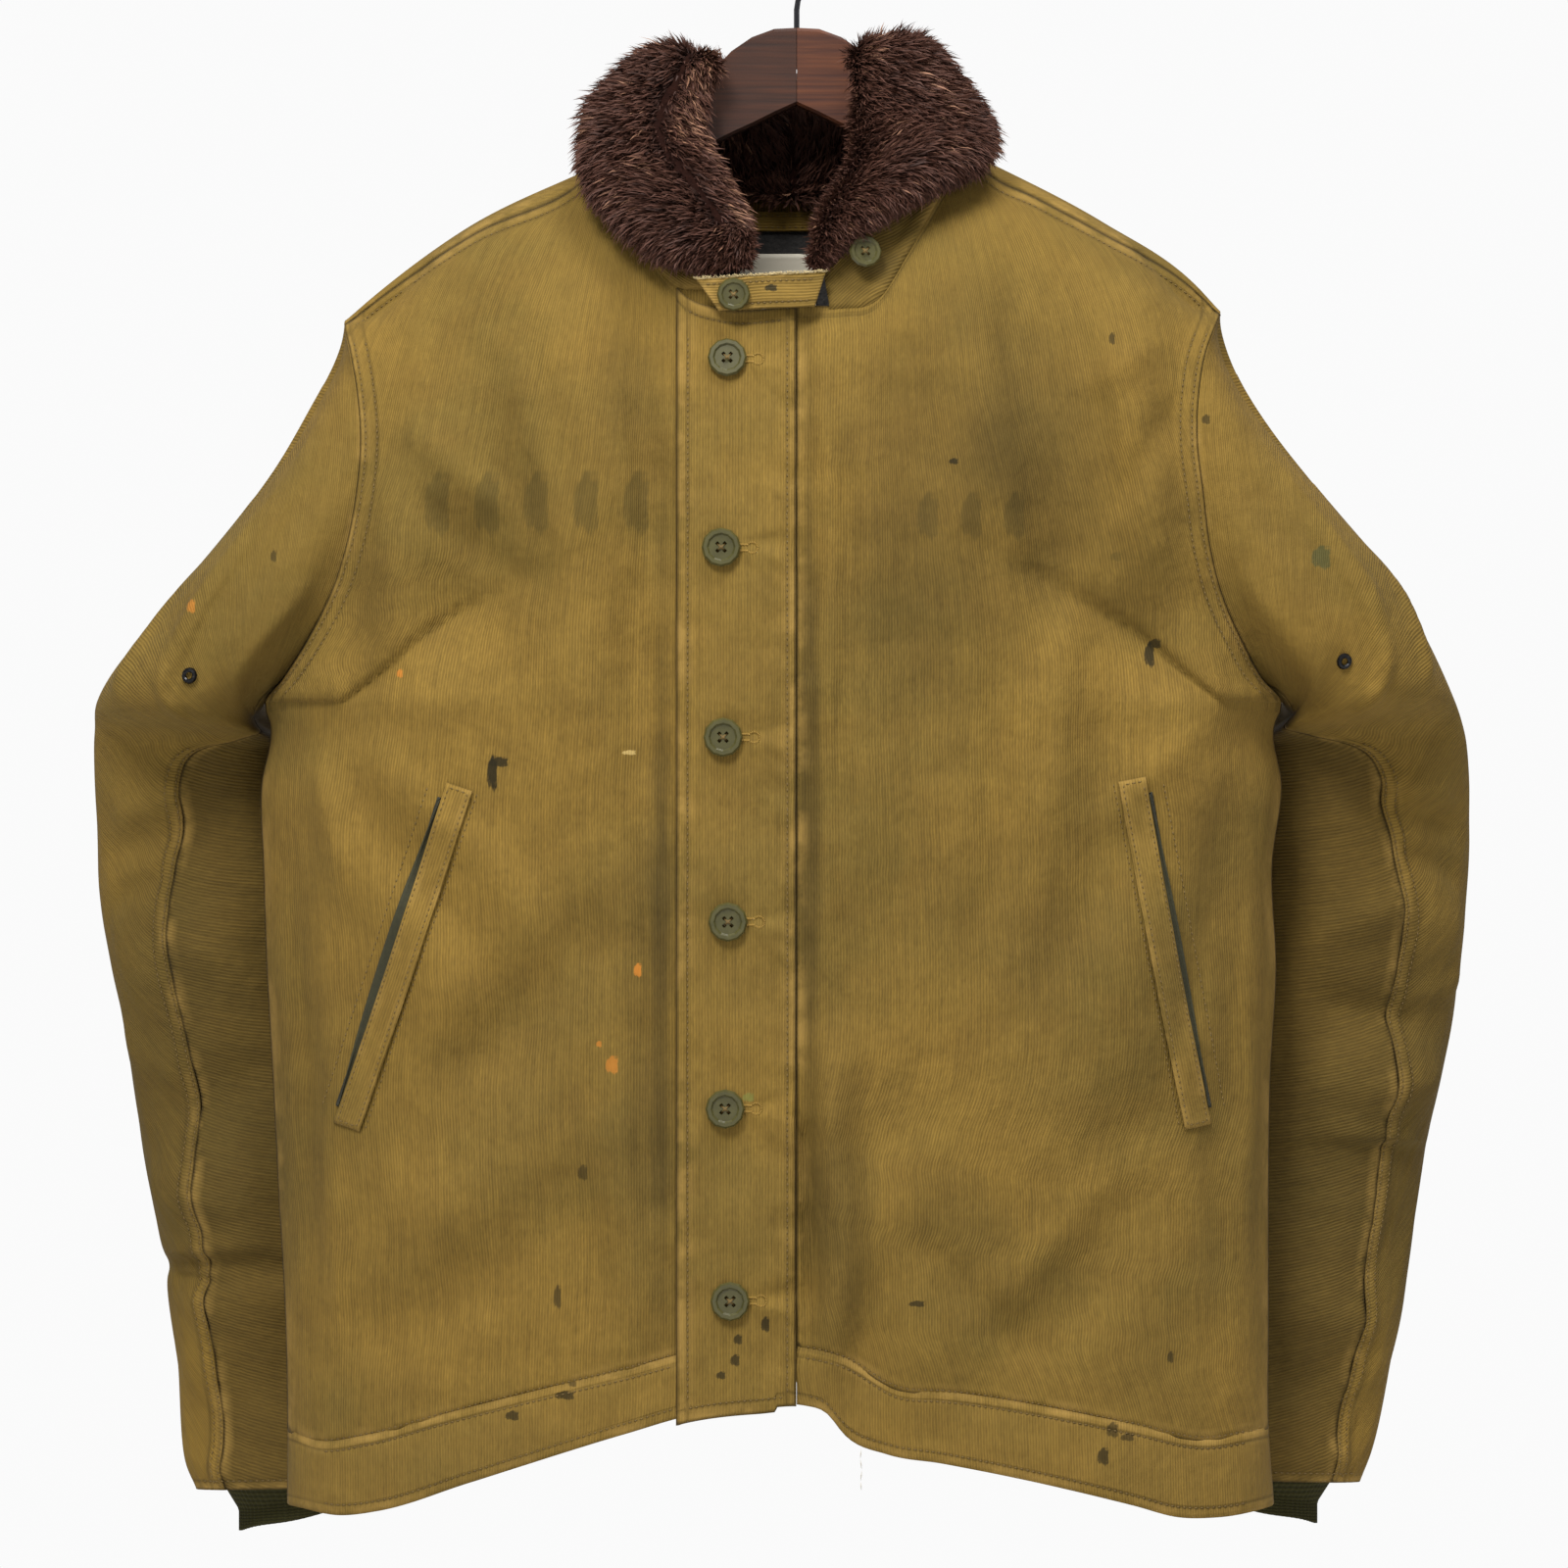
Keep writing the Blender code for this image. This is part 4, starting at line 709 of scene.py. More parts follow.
STAINS = {
    "left": (
        (-160.5, 400, 2.6, 9, INK, 0.95), (-157, 394, 5, 2.5, INK, 0.9),
        (-126, 677, 2, 6, INK, 0.7), (-112.5, 611, 2.5, 4, INK, 0.6),
        (-210, 347, 1.6, 2.2, RUST, 0.95), (-83.5, 504, 2.0, 3.5, RUST, 1.0),
        (-97, 554, 3.2, 4.5, RUST, 0.75), (-104, 543, 1.4, 1.6, RUST, 0.8),
        (-88, 389, 3.5, 1.2, "#A89058", 0.8),
    ),
    "right": (
        (188, 337, 2.6, 6.5, INK, 0.9), (191, 331, 3.2, 2.4, INK, 0.8), (83.5, 235, 2.4, 1.6, INK, 0.85),
        (168, 169, 1.6, 3.2, INK, 0.7), (218.5, 211.5, 2.2, 2.6, INK, 0.7),
        (64, 680, 4, 1.6, INK, 0.8), (199, 710, 1.6, 3.0, INK, 0.7), (170, 285, 3.0, 2.4, "#3E3414", 0.4),
    ),
}
# Plain rounded bars in worn ink, five on the left chest and three on the right one.
for k in range(5):
    STAINS["left"] += ((-190 + 26.5 * k, 257, 6.5, 16, "#3E3414", 0.5),)
for k in range(3):
    STAINS["right"] += ((70 + 23 * k, 264, 5.5, 12, "#3A3012", 0.45),)
# Painted shade on the fronts: soft dark patches beside the placket, over the chest, towards the sides and low
# down; x, drop, half width, half height, strength.
PAINTED_SHADES = {
    "left": ((-266, 560, 26, 210, 0.22), (-71, 470, 7, 240, 0.6), (-80, 540, 16, 190, 0.3),
             (-140, 560, 60, 70, 0.2), (-225, 330, 20, 70, 0.3), (-90, 190, 26, 60, 0.25)),
    "right": ((62, 245, 62, 130, 0.4), (130, 240, 60, 110, 0.42), (241, 560, 28, 200, 0.12),
              (7, 400, 7, 340, 0.55), (24, 620, 24, 130, 0.35), (190, 262, 28, 95, 0.25),
              (120, 480, 60, 70, 0.2), (90, 640, 50, 60, 0.2)),
}
front_grids = {}


def front_top(x):
    """Top edge of the fronts: shoulder seam at the sides, neck seam in the middle."""
    return np.maximum(RIDGE.at("drop", x) - BACK_TOP.at("past_ridge", x), NECK.at("drop", x))


for side, columns, end in (("left", 74, -PLACKET_LEFT), ("right", 96, 0.4)):
    inner = spread(0, 1, columns) ** 1.15
    top = crossing(side, inner, end, -1, front_top)
    seam = crossing(side, inner, end, -1, lambda x: BAND_SEAM.at("drop", x))
    arm = top + (PIT_DROP - top) * arm_fall(-1, 62)[:, None]
    low = PIT_DROP + (seam - PIT_DROP) * spread(0, 1, 78)[1:, None]
    drops = np.concatenate([arm, low])
    grid = body(side, inner, drops, -1, end, FRONT_CREASES)
    x = grid[..., 0]
    side_away = np.abs(x - edge_x(side, drops, -1))
    top_away = (drops - top) * 0.86
    low_away = seam - drops
    middle_away = np.abs(x - end) + (0 if side == "right" else 14)
    grid[..., 1] -= relief(side_away, drops, 0.9, np.where(drops < PIT_DROP, 10.0, 3.0))
    grid[..., 1] -= relief(top_away, x, 0.5, 5.0, 0.25, 2.0)
    grid[..., 1] -= 0.5 * relief(low_away, x, 0.0, 4.0, 0.7, 4.0)
    if side == "right":
        # Gathered by the placket seam: short puckers that die away over some 25 mm.
        pulled = sway(drops / 3.3, x / 30, 5.0) + 0.7 * sway(drops / 7.1, x / 22, 8.0)
        grid[..., 1] -= 1.5 * pulled * np.exp(-((x - 0.4) / 15.0) ** 2) * ease(x, 0.4, 3.0)
    else:
        pulled = sway(drops / 4.7, x / 30, 6.0)
        grid[..., 1] -= 0.8 * pulled * np.exp(-((x + 70) / 12.0) ** 2)
    away = np.minimum(np.minimum(side_away, top_away), np.minimum(low_away, middle_away))
    double = np.minimum(np.abs(side_away - 3.2), np.abs(side_away - 9.4))
    arm_rows = np.where(drops < PIT_DROP + 6, double, FAR)
    sewn_rows = np.minimum(np.minimum(arm_rows, np.abs(top_away - 4.8)), np.abs(low_away - 2.0))
    # Soft unevenness of cloth that has been worn: swells some 40 mm wide.
    grid[..., 1] -= 0.8 * sway(x / 13, drops / 19, 2.0) * ease(side_away, 5, 40) * ease(top_away, 5, 40)
    # The left front runs on under the placket; the right one turns in behind its seam.
    if side == "left":
        on_x, back_by, on_away = np.array((-54.0, -44.0, -32.0, -18.0)), 0.0, 30.0
    else:
        on_x, back_by, on_away = np.array((-1.0, -7.0, -14.0)), 0.3, 0.0
    on_drops = np.repeat(drops[:, [-1]], len(on_x), axis=1)
    under = body("left", np.ones(len(on_x)), on_drops, -1, on_x)
    under[..., 1] += back_by
    grid = np.concatenate([grid, under], axis=1)
    away = np.concatenate([away, np.full_like(on_drops, on_away)], axis=1)
    sewn_rows = np.concatenate([sewn_rows, np.full_like(on_drops, FAR)], axis=1)
    front_grids[side] = grid
    cloth = cotton("grosgrain_front_" + side, stains=STAINS[side], painted_shades=PAINTED_SHADES[side])
    piece = shown("front_%s_cloth" % side, grid, cloth, away, flip=side == "right",
                  held=("hung", ["hanger_" + side]), rows=sewn_rows, anchor=columns)
    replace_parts(piece, "front_" + side)


# Hem bands: a doubled strip of the same cloth sewn on below the fronts and the back, topstitched
# along both edges, its lower edge the most rubbed part of the jacket.
BAND_STAINS = (
    (-150, 740, 3.5, 2.5, INK, 0.8), (-122, 729, 5.0, 2.2, INK, 0.8), (-118, 723, 2.0, 1.5, INK, 0.6),
    (168, 748, 3.0, 4.0, INK, 0.7), (176, 752, 3.5, 2.0, INK, 0.7), (163, 762, 3.0, 4.5, INK, 0.8),
)


def band(name, halves, face, column):
    """Rows from the band seam to the hem, bulged a little between its two stitch rows."""
    grids = []
    for side, share, end in halves:
        seam = crossing(side, share, end, face, lambda x: BAND_SEAM.at(column, x))
        hem = crossing(side, share, end, face, lambda x: HEM.at(column, x))
        t = spread(0, 1, 16)[:, None]
        drops = seam - 1.5 + (hem - seam + 1.5) * t
        grid = body(side, share, drops, face, end, FRONT_CREASES if face < 0 else BACK_CREASES)
        fall = drops - seam
        out = 0.9 * ease(fall, -1.5, 0.5) + 1.1 * np.sin(np.pi * np.clip(fall / (hem - seam), 0, 1)) ** 0.7
        out += 0.55 * sway(grid[..., 0] / 4.1, drops / 11, 7.0) * ease(fall, 0, 5)
        out += 0.35 * sway(grid[..., 0] / 2.0, drops / 8, 2.0) * np.exp(-((fall - 4) / 5.0) ** 2)
        grid[..., 1] += face * out
        grids.append(grid)
    return np.concatenate(grids, axis=1)


def band_edge(grid):
    fall = lengths(grid, 0)
    return np.minimum(fall - 1.0, fall[-1] - fall) * 0.9


def hem_band(name, halves, face, column, flip):
    grid = band(name, halves, face, column)
    cloth = cotton("grosgrain_" + name, stains=BAND_STAINS if face < 0 else (), paler=0.08)
    held = ("hung", ["back_cloth"] if face > 0 else ["front_left_cloth", "front_right_cloth"])
    fall = lengths(grid, 0)
    rows = np.minimum(np.abs(fall - 5.5), np.abs(fall[-1] - fall - 5.6))
    piece = shown(name + "_cloth", grid, cloth, np.maximum(band_edge(grid), 0.95), flip=flip,
                  held=held, rows=rows)
    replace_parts(piece, name)


left_share, right_share = spread(0, 1, 70) ** 1.15, spread(0, 1, 90) ** 1.15
under = ("left", np.ones(3), np.array((-50.0, -34.0, -18.0)))
hem_band("hem_band_left", [("left", left_share, -PLACKET_LEFT), under], -1, "drop", False)
hem_band("hem_band_right", [("right", right_share, 0.4)], -1, "drop", True)
whole = [("left", left_share, 0.0), ("right", left_share[::-1][1:], 0.0)]
hem_band("hem_band_back", whole, 1, "back", True)


# Placket: a doubled strip that laps over the left front and is sewn to the right one. Its free edge
# is topstitched 6 mm in and frayed gold; the six buttons pull short creases into it.
BUTTONS = Table(
    "number x drop",
    (1, -36.4, 180.4),
    (2, -39.5, 280.8),
    (3, -38.5, 381.0),
    (4, -35.9, 478.4),
    (5, -37.4, 577.0),
    (6, -34.8, 678.6),
)
PLACKET_STAINS = (
    (-16, 691, 2.2, 4.0, INK, 0.85), (-30.5, 699, 2.2, 2.6, INK, 0.8), (-32, 710, 2.4, 3.0, INK, 0.8),
    (-39.5, 718, 2.4, 2.0, INK, 0.8), (-25, 571, 3.0, 2.2, "#5E6A34", 0.5),
)
across = spread(-PLACKET_LEFT, 0.2, 44)
top = crossing("left", np.ones_like(across), across, -1, front_top) + 0.9
bottom = HEM.at("drop", across) + np.where(across < -10, 3.5, 1.0)
drops = top + (bottom - top) * spread(0, 1, 250)[:, None]
placket_grid = body("left", np.ones_like(drops), drops, -1, np.broadcast_to(across, drops.shape))
free, sewn = across + PLACKET_LEFT, 0.2 - across
out = 1.9 + 1.0 * ease(free, 0, 1.2) - 0.5 * np.exp(-((free - 6.2) / 1.8) ** 2) * np.ones_like(drops)
out += 0.9 * np.exp(-((sewn - 5.0) / 3.6) ** 2) - 1.2 * np.exp(-(sewn / 1.4) ** 2)
rough = sway(drops / 3.0, across / 9, 3.0) + 0.8 * sway(drops / 6.3, across / 12, 9.0)
out += 0.7 * rough * np.exp(-((free - 8) / 8.0) ** 2) + 1.2 * rough * np.exp(-((sewn - 6) / 9.0) ** 2)
out += 1.5 * sway(drops / 14, across / 16, 4.0) * ease(free, 4, 20) * ease(sewn, 2, 16)
out += 0.8 * sway(drops / 7.5, across / 10, 7.0) * ease(free, 6, 24) * ease(sewn, 0, 10)
for bx, bd in zip(BUTTONS.columns["x"], BUTTONS.columns["drop"]):
    aside, down_by = across - bx, drops - bd
    # Two creases run from each button to the seam, and the cloth is pressed flat under it.
    flat_by = np.exp(-((np.hypot(aside, down_by) / 14.0) ** 4))
    out = out * (1 - flat_by) + 2.9 * flat_by
    for slope, lift in ((0.30, 1.5), (-0.26, -1.3), (0.9, 0.7)):
        line = down_by - slope * (aside - 10)
        out += lift * np.exp(-((line / 4.0) ** 2)) * ease(aside, 9, 16) * ease(-aside, -38, -28)
placket_grid[..., 1] -= out
free_by, sewn_by = np.broadcast_to(free, drops.shape), np.broadcast_to(sewn, drops.shape)
placket_edge = np.minimum(np.minimum(free_by * 0.6, sewn_by * 0.8),
                          np.minimum(drops - top, bottom - drops) * 0.8)
placket_rows = np.minimum(np.abs(free_by - 6.2), np.abs(sewn_by - 4.8))
placket_rows = np.minimum(placket_rows, np.minimum(np.abs(drops - top - 7.0), np.abs(bottom - drops - 6.5)))
placket_cotton = cotton("grosgrain_placket", stains=PLACKET_STAINS, paler=0.04)
placket_cloth = shown("placket_cloth", placket_grid, placket_cotton, placket_edge, wall=2.2,
                      held=("hung", ["front_left_cloth", "front_right_cloth"]), rows=placket_rows)
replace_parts(placket_cloth, "placket")


# Sleeves: a top and an under cut each, joined by double-stitched felled seams; the ribs run round
# the arm. A row of the tables is a section: out is the point on the outer silhouette, in the point
# on the body's side, front and back the two faces between them.
SLEEVE_ROWS = "row out_x out_drop out_y in_x in_drop in_y front back"
LEFT_SLEEVE = Table(
    SLEEVE_ROWS,
    (0, -242, 157, 0, -285, 362, 0, -56, 56),
    (1, -256, 176, 0, -287, 364, 4, -59, 58),
    (2, -272, 202, 0, -289, 366, 9, -62, 60),
    (3, -292, 241, 2, -291, 368, 14, -63, 63),
    (4, -317, 281, 4, -291, 370, 20, -60, 67),
    (5, -340, 313, 7, -290, 372, 26, -55, 71),
    (6, -364, 341, 12, -287, 375, 33, -49, 78),
    (7, -376, 361, 18, -281, 379, 40, -38, 86),
    (8, -378, 376, 28, -273, 385, 47, -3, 94),
    (9, -379, 393, 38, -264, 394, 55, 7, 102),
    (10, -378, 437, 54, -250, 432, 64, 11, 111),
    (11, -376, 476, 60, -246, 472, 68, 14, 115),
    (12, -364, 538, 63, -240, 538, 69, 17, 118),
    (13, -354, 603, 64, -231, 603, 71, 20, 120),
    (14, -345, 652, 65, -222, 652, 73, 24, 120),
    (15, -340, 666, 65, -221, 667, 73, 28, 118),
    (16, -341, 680, 65, -218, 681, 73, 26, 119),
    (17, -335, 724, 65, -213, 724, 74, 29, 117),
    (18, -332, 768, 64, -208, 768, 74, 31, 114),
    (19, -325, 788, 64, -206, 784, 74, 34, 110),
)
RIGHT_SLEEVE = Table(
    SLEEVE_ROWS,
    (0, 228, 152, 0, 261, 362, 0, -56, 56),
    (1, 240, 169, 0, 263, 363, 4, -59, 58),
    (2, 254, 195, 0, 265, 365, 9, -62, 60),
    (3, 277, 231, 2, 267, 367, 14, -63, 63),
    (4, 304, 271, 4, 267, 369, 20, -60, 67),
    (5, 325, 302, 7, 265, 371, 26, -55, 71),
    (6, 341, 331, 12, 262, 373, 33, -49, 78),
    (7, 352, 354, 18, 256, 377, 40, -38, 86),
    (8, 359, 371, 28, 248, 383, 47, -3, 94),
    (9, 363, 389, 38, 240, 392, 55, 7, 102),
    (10, 365, 424, 54, 236, 421, 64, 11, 111),
    (11, 364, 460, 60, 232, 457, 68, 14, 115),
    (12, 360, 506, 63, 230, 506, 69, 17, 118),
    (13, 354, 547, 64, 227, 547, 71, 20, 120),
    (14, 344, 592, 65, 220, 592, 73, 24, 120),
    (15, 340, 612, 65, 216, 612, 73, 28, 118),
    (16, 330, 686, 65, 208, 686, 73, 29, 118),
    (17, 322, 724, 65, 201, 724, 74, 30, 116),
    (18, 314, 762, 64, 194, 762, 74, 31, 114),
    (19, 306, 784, 64, 190, 780, 74, 34, 110),
)
# Where the two seams of a sleeve run, as angles round it: 0 outer, 90 front, 180 inner, 270 back.
SLEEVE_SEAMS = Table(
    "row front back",
    (0, 166, 236),
    (6, 160, 240),
    (7, 150, 244),
    (8, 118, 248),
    (9, 84, 252),
    (10, 74, 256),
    (13, 60, 260),
    (19, 44, 262),
)
SLEEVE_TUCK = Table(
    "row tuck", (0, 0), (2, 0), (3, 3), (4, 6), (5, 9), (6, 9), (7, 7), (8, 4), (9, 0), (10, 0)
)
# Creases round a sleeve, as a line from one row and angle to another.
SLEEVE_FOLDS = (
    # row0, angle0, row1, angle1, width, rise
    (1.0, 60, 6.0, 95, 0.12, -6),
    (1.0, 110, 5.5, 125, 0.10, 6),
    (10.2, 20, 9.6, 100, 0.16, -6),
    (11.6, 10, 11.2, 110, 0.20, 6),
    (12.4, 25, 12.8, 120, 0.22, -6),
    (13.6, 15, 13.2, 110, 0.22, 6),
    (17.4, 20, 17.0, 120, 0.24, -6),
    (10.5, 250, 10.0, 330, 0.22, -7),
    (12.6, 240, 12.0, 330, 0.24, 7),
    (16.6, 250, 16.9, 340, 0.24, -6),
)
# Extra soft troughs and ridges, uneven in length, depth and spacing.
SLEEVE_CREASES = (
    (2.0, 20, 5.6, 62, 0.05, 3.0),
    (2.6, 52, 6.2, 84, 0.05, -3.0),
    (4.4, 8, 6.8, 40, 0.06, 3.0),
    (5.4, 60, 7.4, 96, 0.05, 3.4),
    (9.8, 30, 9.4, 88, 0.10, 3.2),
    (10.9, 20, 10.5, 70, 0.09, -3.0),
    (11.2, 60, 11.8, 118, 0.09, 2.6),
    (12.1, 10, 12.4, 62, 0.10, 2.8),
    (12.7, 40, 12.3, 110, 0.10, -2.6),
    (13.3, 15, 13.6, 80, 0.10, 2.4),
    (14.4, 20, 14.0, 92, 0.12, 2.6),
    (15.5, 15, 15.9, 70, 0.14, -2.4),
    (16.2, 30, 16.0, 110, 0.14, 2.4),
    (16.9, 15, 17.2, 62, 0.14, 2.2),
    (17.8, 20, 18.0, 90, 0.16, -2.0),
    (10.2, 268, 10.9, 340, 0.12, 3.0),
    (11.4, 255, 11.0, 320, 0.12, -3.0),
    (13.4, 262, 13.8, 335, 0.14, 2.8),
    (15.0, 258, 14.6, 325, 0.14, -2.6),
    (17.6, 262, 17.4, 330, 0.16, 2.4),
)
SLEEVE_STAINS = {
    "left": ((-277.7, 284.5, 1.6, 3.0, INK, 0.6), (-322, 311, 2.2, 3.5, RUST, 0.7)),
    "right": ((280, 285, 5.0, 6.0, "#3E3E20", 0.8), (218.5, 211.5, 2.2, 2.6, INK, 0.7),
              (261.5, 478.5, 2.4, 5.0, RUST, 0.6)),
}


def sleeve_at(side, row, angle, inset=0.0, clear=0.15, creases=SLEEVE_CREASES):
    """Points on a sleeve: row along it, angle round it from the outer silhouette to the front."""
    row, angle = np.broadcast_arrays(np.asarray(row, float), np.asarray(angle, float))
    table = LEFT_SLEEVE if side == "left" else RIGHT_SLEEVE
    r = {name: table.at(name, row) for name in table.columns}
    around = angle % 360
    turn = np.radians(around)
    c, s = np.cos(turn), np.sin(turn)
    mid_x, mid_drop = (r["out_x"] + r["in_x"]) / 2, (r["out_drop"] + r["in_drop"]) / 2
    reach_x, reach_drop = r["out_x"] - mid_x, r["out_drop"] - mid_drop
    size = np.hypot(reach_x, reach_drop)
    keep = 1 - inset / size
    outer_x, outer_drop = mid_x + reach_x * c, mid_drop + reach_drop * c
    x, drop = mid_x + reach_x * keep * c, mid_drop + reach_drop * keep * c
    near_y = np.where(c > 0, r["out_y"], r["in_y"])
    face = np.where(s > 0, r["front"] + inset, r["back"] - inset)
    y = near_y + (face - near_y) * np.abs(s)
    sign = SIGN[side]
    # The armhole seam bows in towards the chest, and the sleeve takes that bow over its first rows.
    edge = np.where(s > 0, edge_x(side, outer_drop, -1), edge_x(side, outer_drop, 1))
    start = np.maximum(1 - row / 1.5, 0)
    x = x + (edge - outer_x) * np.maximum(1 - row / 4.5, 0) ** 1.5
    x = x + inset / size * reach_x * c * start + sign * (clear - inset) * start
    x = x - sign * SLEEVE_TUCK.at("tuck", row) * ease(around, 172, 205) * ease(-around, -255, -215)
    fold = sum(sleeve_fold(f, row, turn) for f in SLEEVE_FOLDS)
    fold = fold + 1.35 * sum(sleeve_fold(f, row, turn) for f in creases)
    nx, ny = x - mid_x, y - (r["front"] + r["back"]) / 2
    far = np.maximum(np.hypot(nx, ny), 1e-6)
    return np.stack([x + nx / far * fold, y + ny / far * fold, drop], axis=-1)


def sleeve_fold(fold, row, turn):
    """How far one crease moves the sleeve out."""
    row0, angle0, row1, angle1, width, rise = fold
    start, stop = math.radians(angle0), math.radians(angle1)
    if row1 - row0 > 1.9:
        along = (row - row0) / (row1 - row0)
        aside = turn - (start + (stop - start) * along)
    else:
        along = (turn - start) / (stop - start)
        aside = row - (row0 + (row1 - row0) * along)
    fade = ease(along, -0.1, 0.3) * ease(-along, -1.1, -0.7)
    return rise * fade * np.exp(-((aside / (width * 2.2)) ** 2))


def seam_angle(row, which):
    """Where a sleeve seam runs: from the armhole's corner to its own line."""
    corner = {"front": 156.2, "back": 257.1}[which]
    return corner + (SLEEVE_SEAMS.at(which, row) - corner) * ease(row, 0, 5)


sleeve_rows = np.concatenate([spread(0.02, 6, 54), spread(6, 10, 60)[1:], spread(10, 19, 96)[1:]])
for side in ("left", "right"):
    for cut, first, last, count in (
        ("top", seam_angle(sleeve_rows, "back") - 360, seam_angle(sleeve_rows, "front"), 84),
        ("under", seam_angle(sleeve_rows, "front"), seam_angle(sleeve_rows, "back"), 50),
    ):
        angles = first[:, None] + (last - first)[:, None] * spread(0, 1, count)
        grid = sleeve_at(side, sleeve_rows[:, None], angles)
        width = lengths(grid, 1)
        run = lengths(grid, 0)
        seam_away = np.minimum(width, width[:, [-1]] - width)
        calm = ease(sleeve_rows, 0, 1.2)[:, None]
        centre = grid.mean(axis=1, keepdims=True)
        away_from = grid - centre
        away_from[..., 2] = 0
        away_from /= np.maximum(np.linalg.norm(away_from, axis=-1, keepdims=True), 1e-6)
        rise, seed = (0.7, 1.0) if cut == "top" else (0.0, 4.0)
        raised = relief(seam_away, run, rise, 9.0, 0.5, seed) * calm
        raised = raised + 0.5 * sway(run / 6.3, width / 21, 6.0) * calm * ease(sleeve_rows, 8, 11)[:, None]
        grid = grid + away_from * raised[..., None]
        # The first rows turn in behind the body's edge, so no light passes the armhole seam.
        tucked = grid[0] + np.array((-SIGN[side] * 5.0, 0, 0))
        tucked[:, 1] *= 0.93
        tucked[:, 2] += (grid[0].mean(axis=0)[2] - grid[0][:, 2]) * 0.05
        grid = np.concatenate([[tucked], grid])
        end_away = run[-1] - run
        away = np.minimum(np.minimum(seam_away, run + 3), end_away)
        away = np.concatenate([[np.zeros(count + 1)], away])
        sewn_rows = np.full_like(away, FAR)
        if cut == "top":
            double = np.minimum(np.abs(seam_away - 2.4), np.abs(seam_away - 8.4))
            sewn_rows[1:] = np.where(sleeve_rows[:, None] > 8.3, double, FAR)
        sewn_rows[1:] = np.minimum(sewn_rows[1:], np.abs(end_away - 5.0))
        # The under cut is darkened partly as cloth that has kept its colour and partly as painted shade; the
        # top cut has a soft patch of painted shade on the lower sleeve.
        cloth = cotton("grosgrain_sleeve_%s_%s" % (side, cut), across=True, rib=1.8,
                       stains=SLEEVE_STAINS[side] if cut == "top" else (),
                       unfaded_and_shade=0.0 if cut == "top" else 0.55,
                       painted_shades=((SIGN[side] * 330, 560, 50, 190, 0.4),) if cut == "top" else ())
        name = "sleeve_%s_%s" % (side, cut)
        piece = shown(name + "_cloth", grid, cloth, away, flip=side == "right",
                      held=("hung", ["front_%s_cloth" % side, "back_cloth"]), rows=sewn_rows)
        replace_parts(piece, name)


# Knit cuffs: ribbed olive-green wool set inside each sleeve end and drawn in to the wrist. The ribs
# run down it; a row of the table is a section, from the seat in the sleeve to the cuff's end.
CUFF = Table(
    "row along drop tilt",
    (0, 0.0, 0, 0.0),
    (1, 0.55, 777, -0.05),
    (2, 1.0, 788, -0.22),
    (3, 1.0, 799, -0.22),
)
WRIST = {"left": (-262.0, 40.0, 26.0, 0.0), "right": (243.0, 40.0, 26.0, -4.0)}
CUFF_SEAT = 17.9
RIBS = 72
for side in ("left", "right"):
    centre_x, half_x, half_y, raised = WRIST[side]
    turn = np.linspace(0, math.tau, RIBS * 5, endpoint=False)
    rows = spread(0, 3, 20)[:, None]
    steps = CUFF.columns["row"]
    along, tilt = (np.interp(rows, steps, CUFF.columns[name]) for name in ("along", "tilt"))
    drop = np.interp(rows, steps[1:], CUFF.columns["drop"][1:])
    rib = 0.75 * (0.5 + 0.5 * np.cos(turn * RIBS)) ** 0.6 * ease(rows, 0.3, 0.8) - 0.2
    seat = sleeve_at(side, CUFF_SEAT, np.degrees(turn), WALL + 1.3, creases=())
    x = centre_x + SIGN[side] * (half_x + rib) * np.cos(turn)
    y = 73 - (half_y + rib) * np.sin(turn) + 0 * rows
    level = drop + raised - tilt * SIGN[side] * (x - centre_x + SIGN[side] * 12)
    wrist = np.stack([x + 0 * rows, y, level], axis=-1)
    grid = seat + (wrist - seat) * along[..., None]
    grid[..., 2] = np.where(rows > 0, seat[:, 2] + (level - seat[:, 2]) * ease(rows, 0, 1.0), seat[:, 2])
    grid[..., 2] += 0.5 * np.sin(turn * 5 + 1) * ease(rows, 2, 3)
    knit, tree, shader = finish_named("rib_knit_wool_" + side, 0.95, Specular_IOR_Level=0.2)
    flat = node(tree, "UVMap", uv_map="cloth").outputs[0]
    # One loop is 1.6 mm tall; the V of each stitch is drawn at that size.
    loops = node(tree, "TexWave", {"Vector": flat, "Scale": lines_apart(0.0016), "Distortion": 1.2,
                                   "Detail": 2.0}, bands_direction="Y")
    fuzz = noise(tree, flat, 900.0, 3.0)
    tone = blend(tree, loops.outputs["Fac"], "#1C1B08", "#353214")
    tone = blend(tree, fuzz, tone, "#26240C")
    tree.links.new(tone, shader.inputs["Base Color"])
    embossed(tree, shader, loops.outputs["Fac"], 0.5, 0.0006)
    piece = shown("cuff_%s_wool" % side, grid, knit, closed=True, flip=side == "right",
                  held=("gathered", ["sleeve_%s_top_cloth" % side, "sleeve_%s_under_cloth" % side]))
    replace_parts(piece, "cuff_%s_knit" % side)


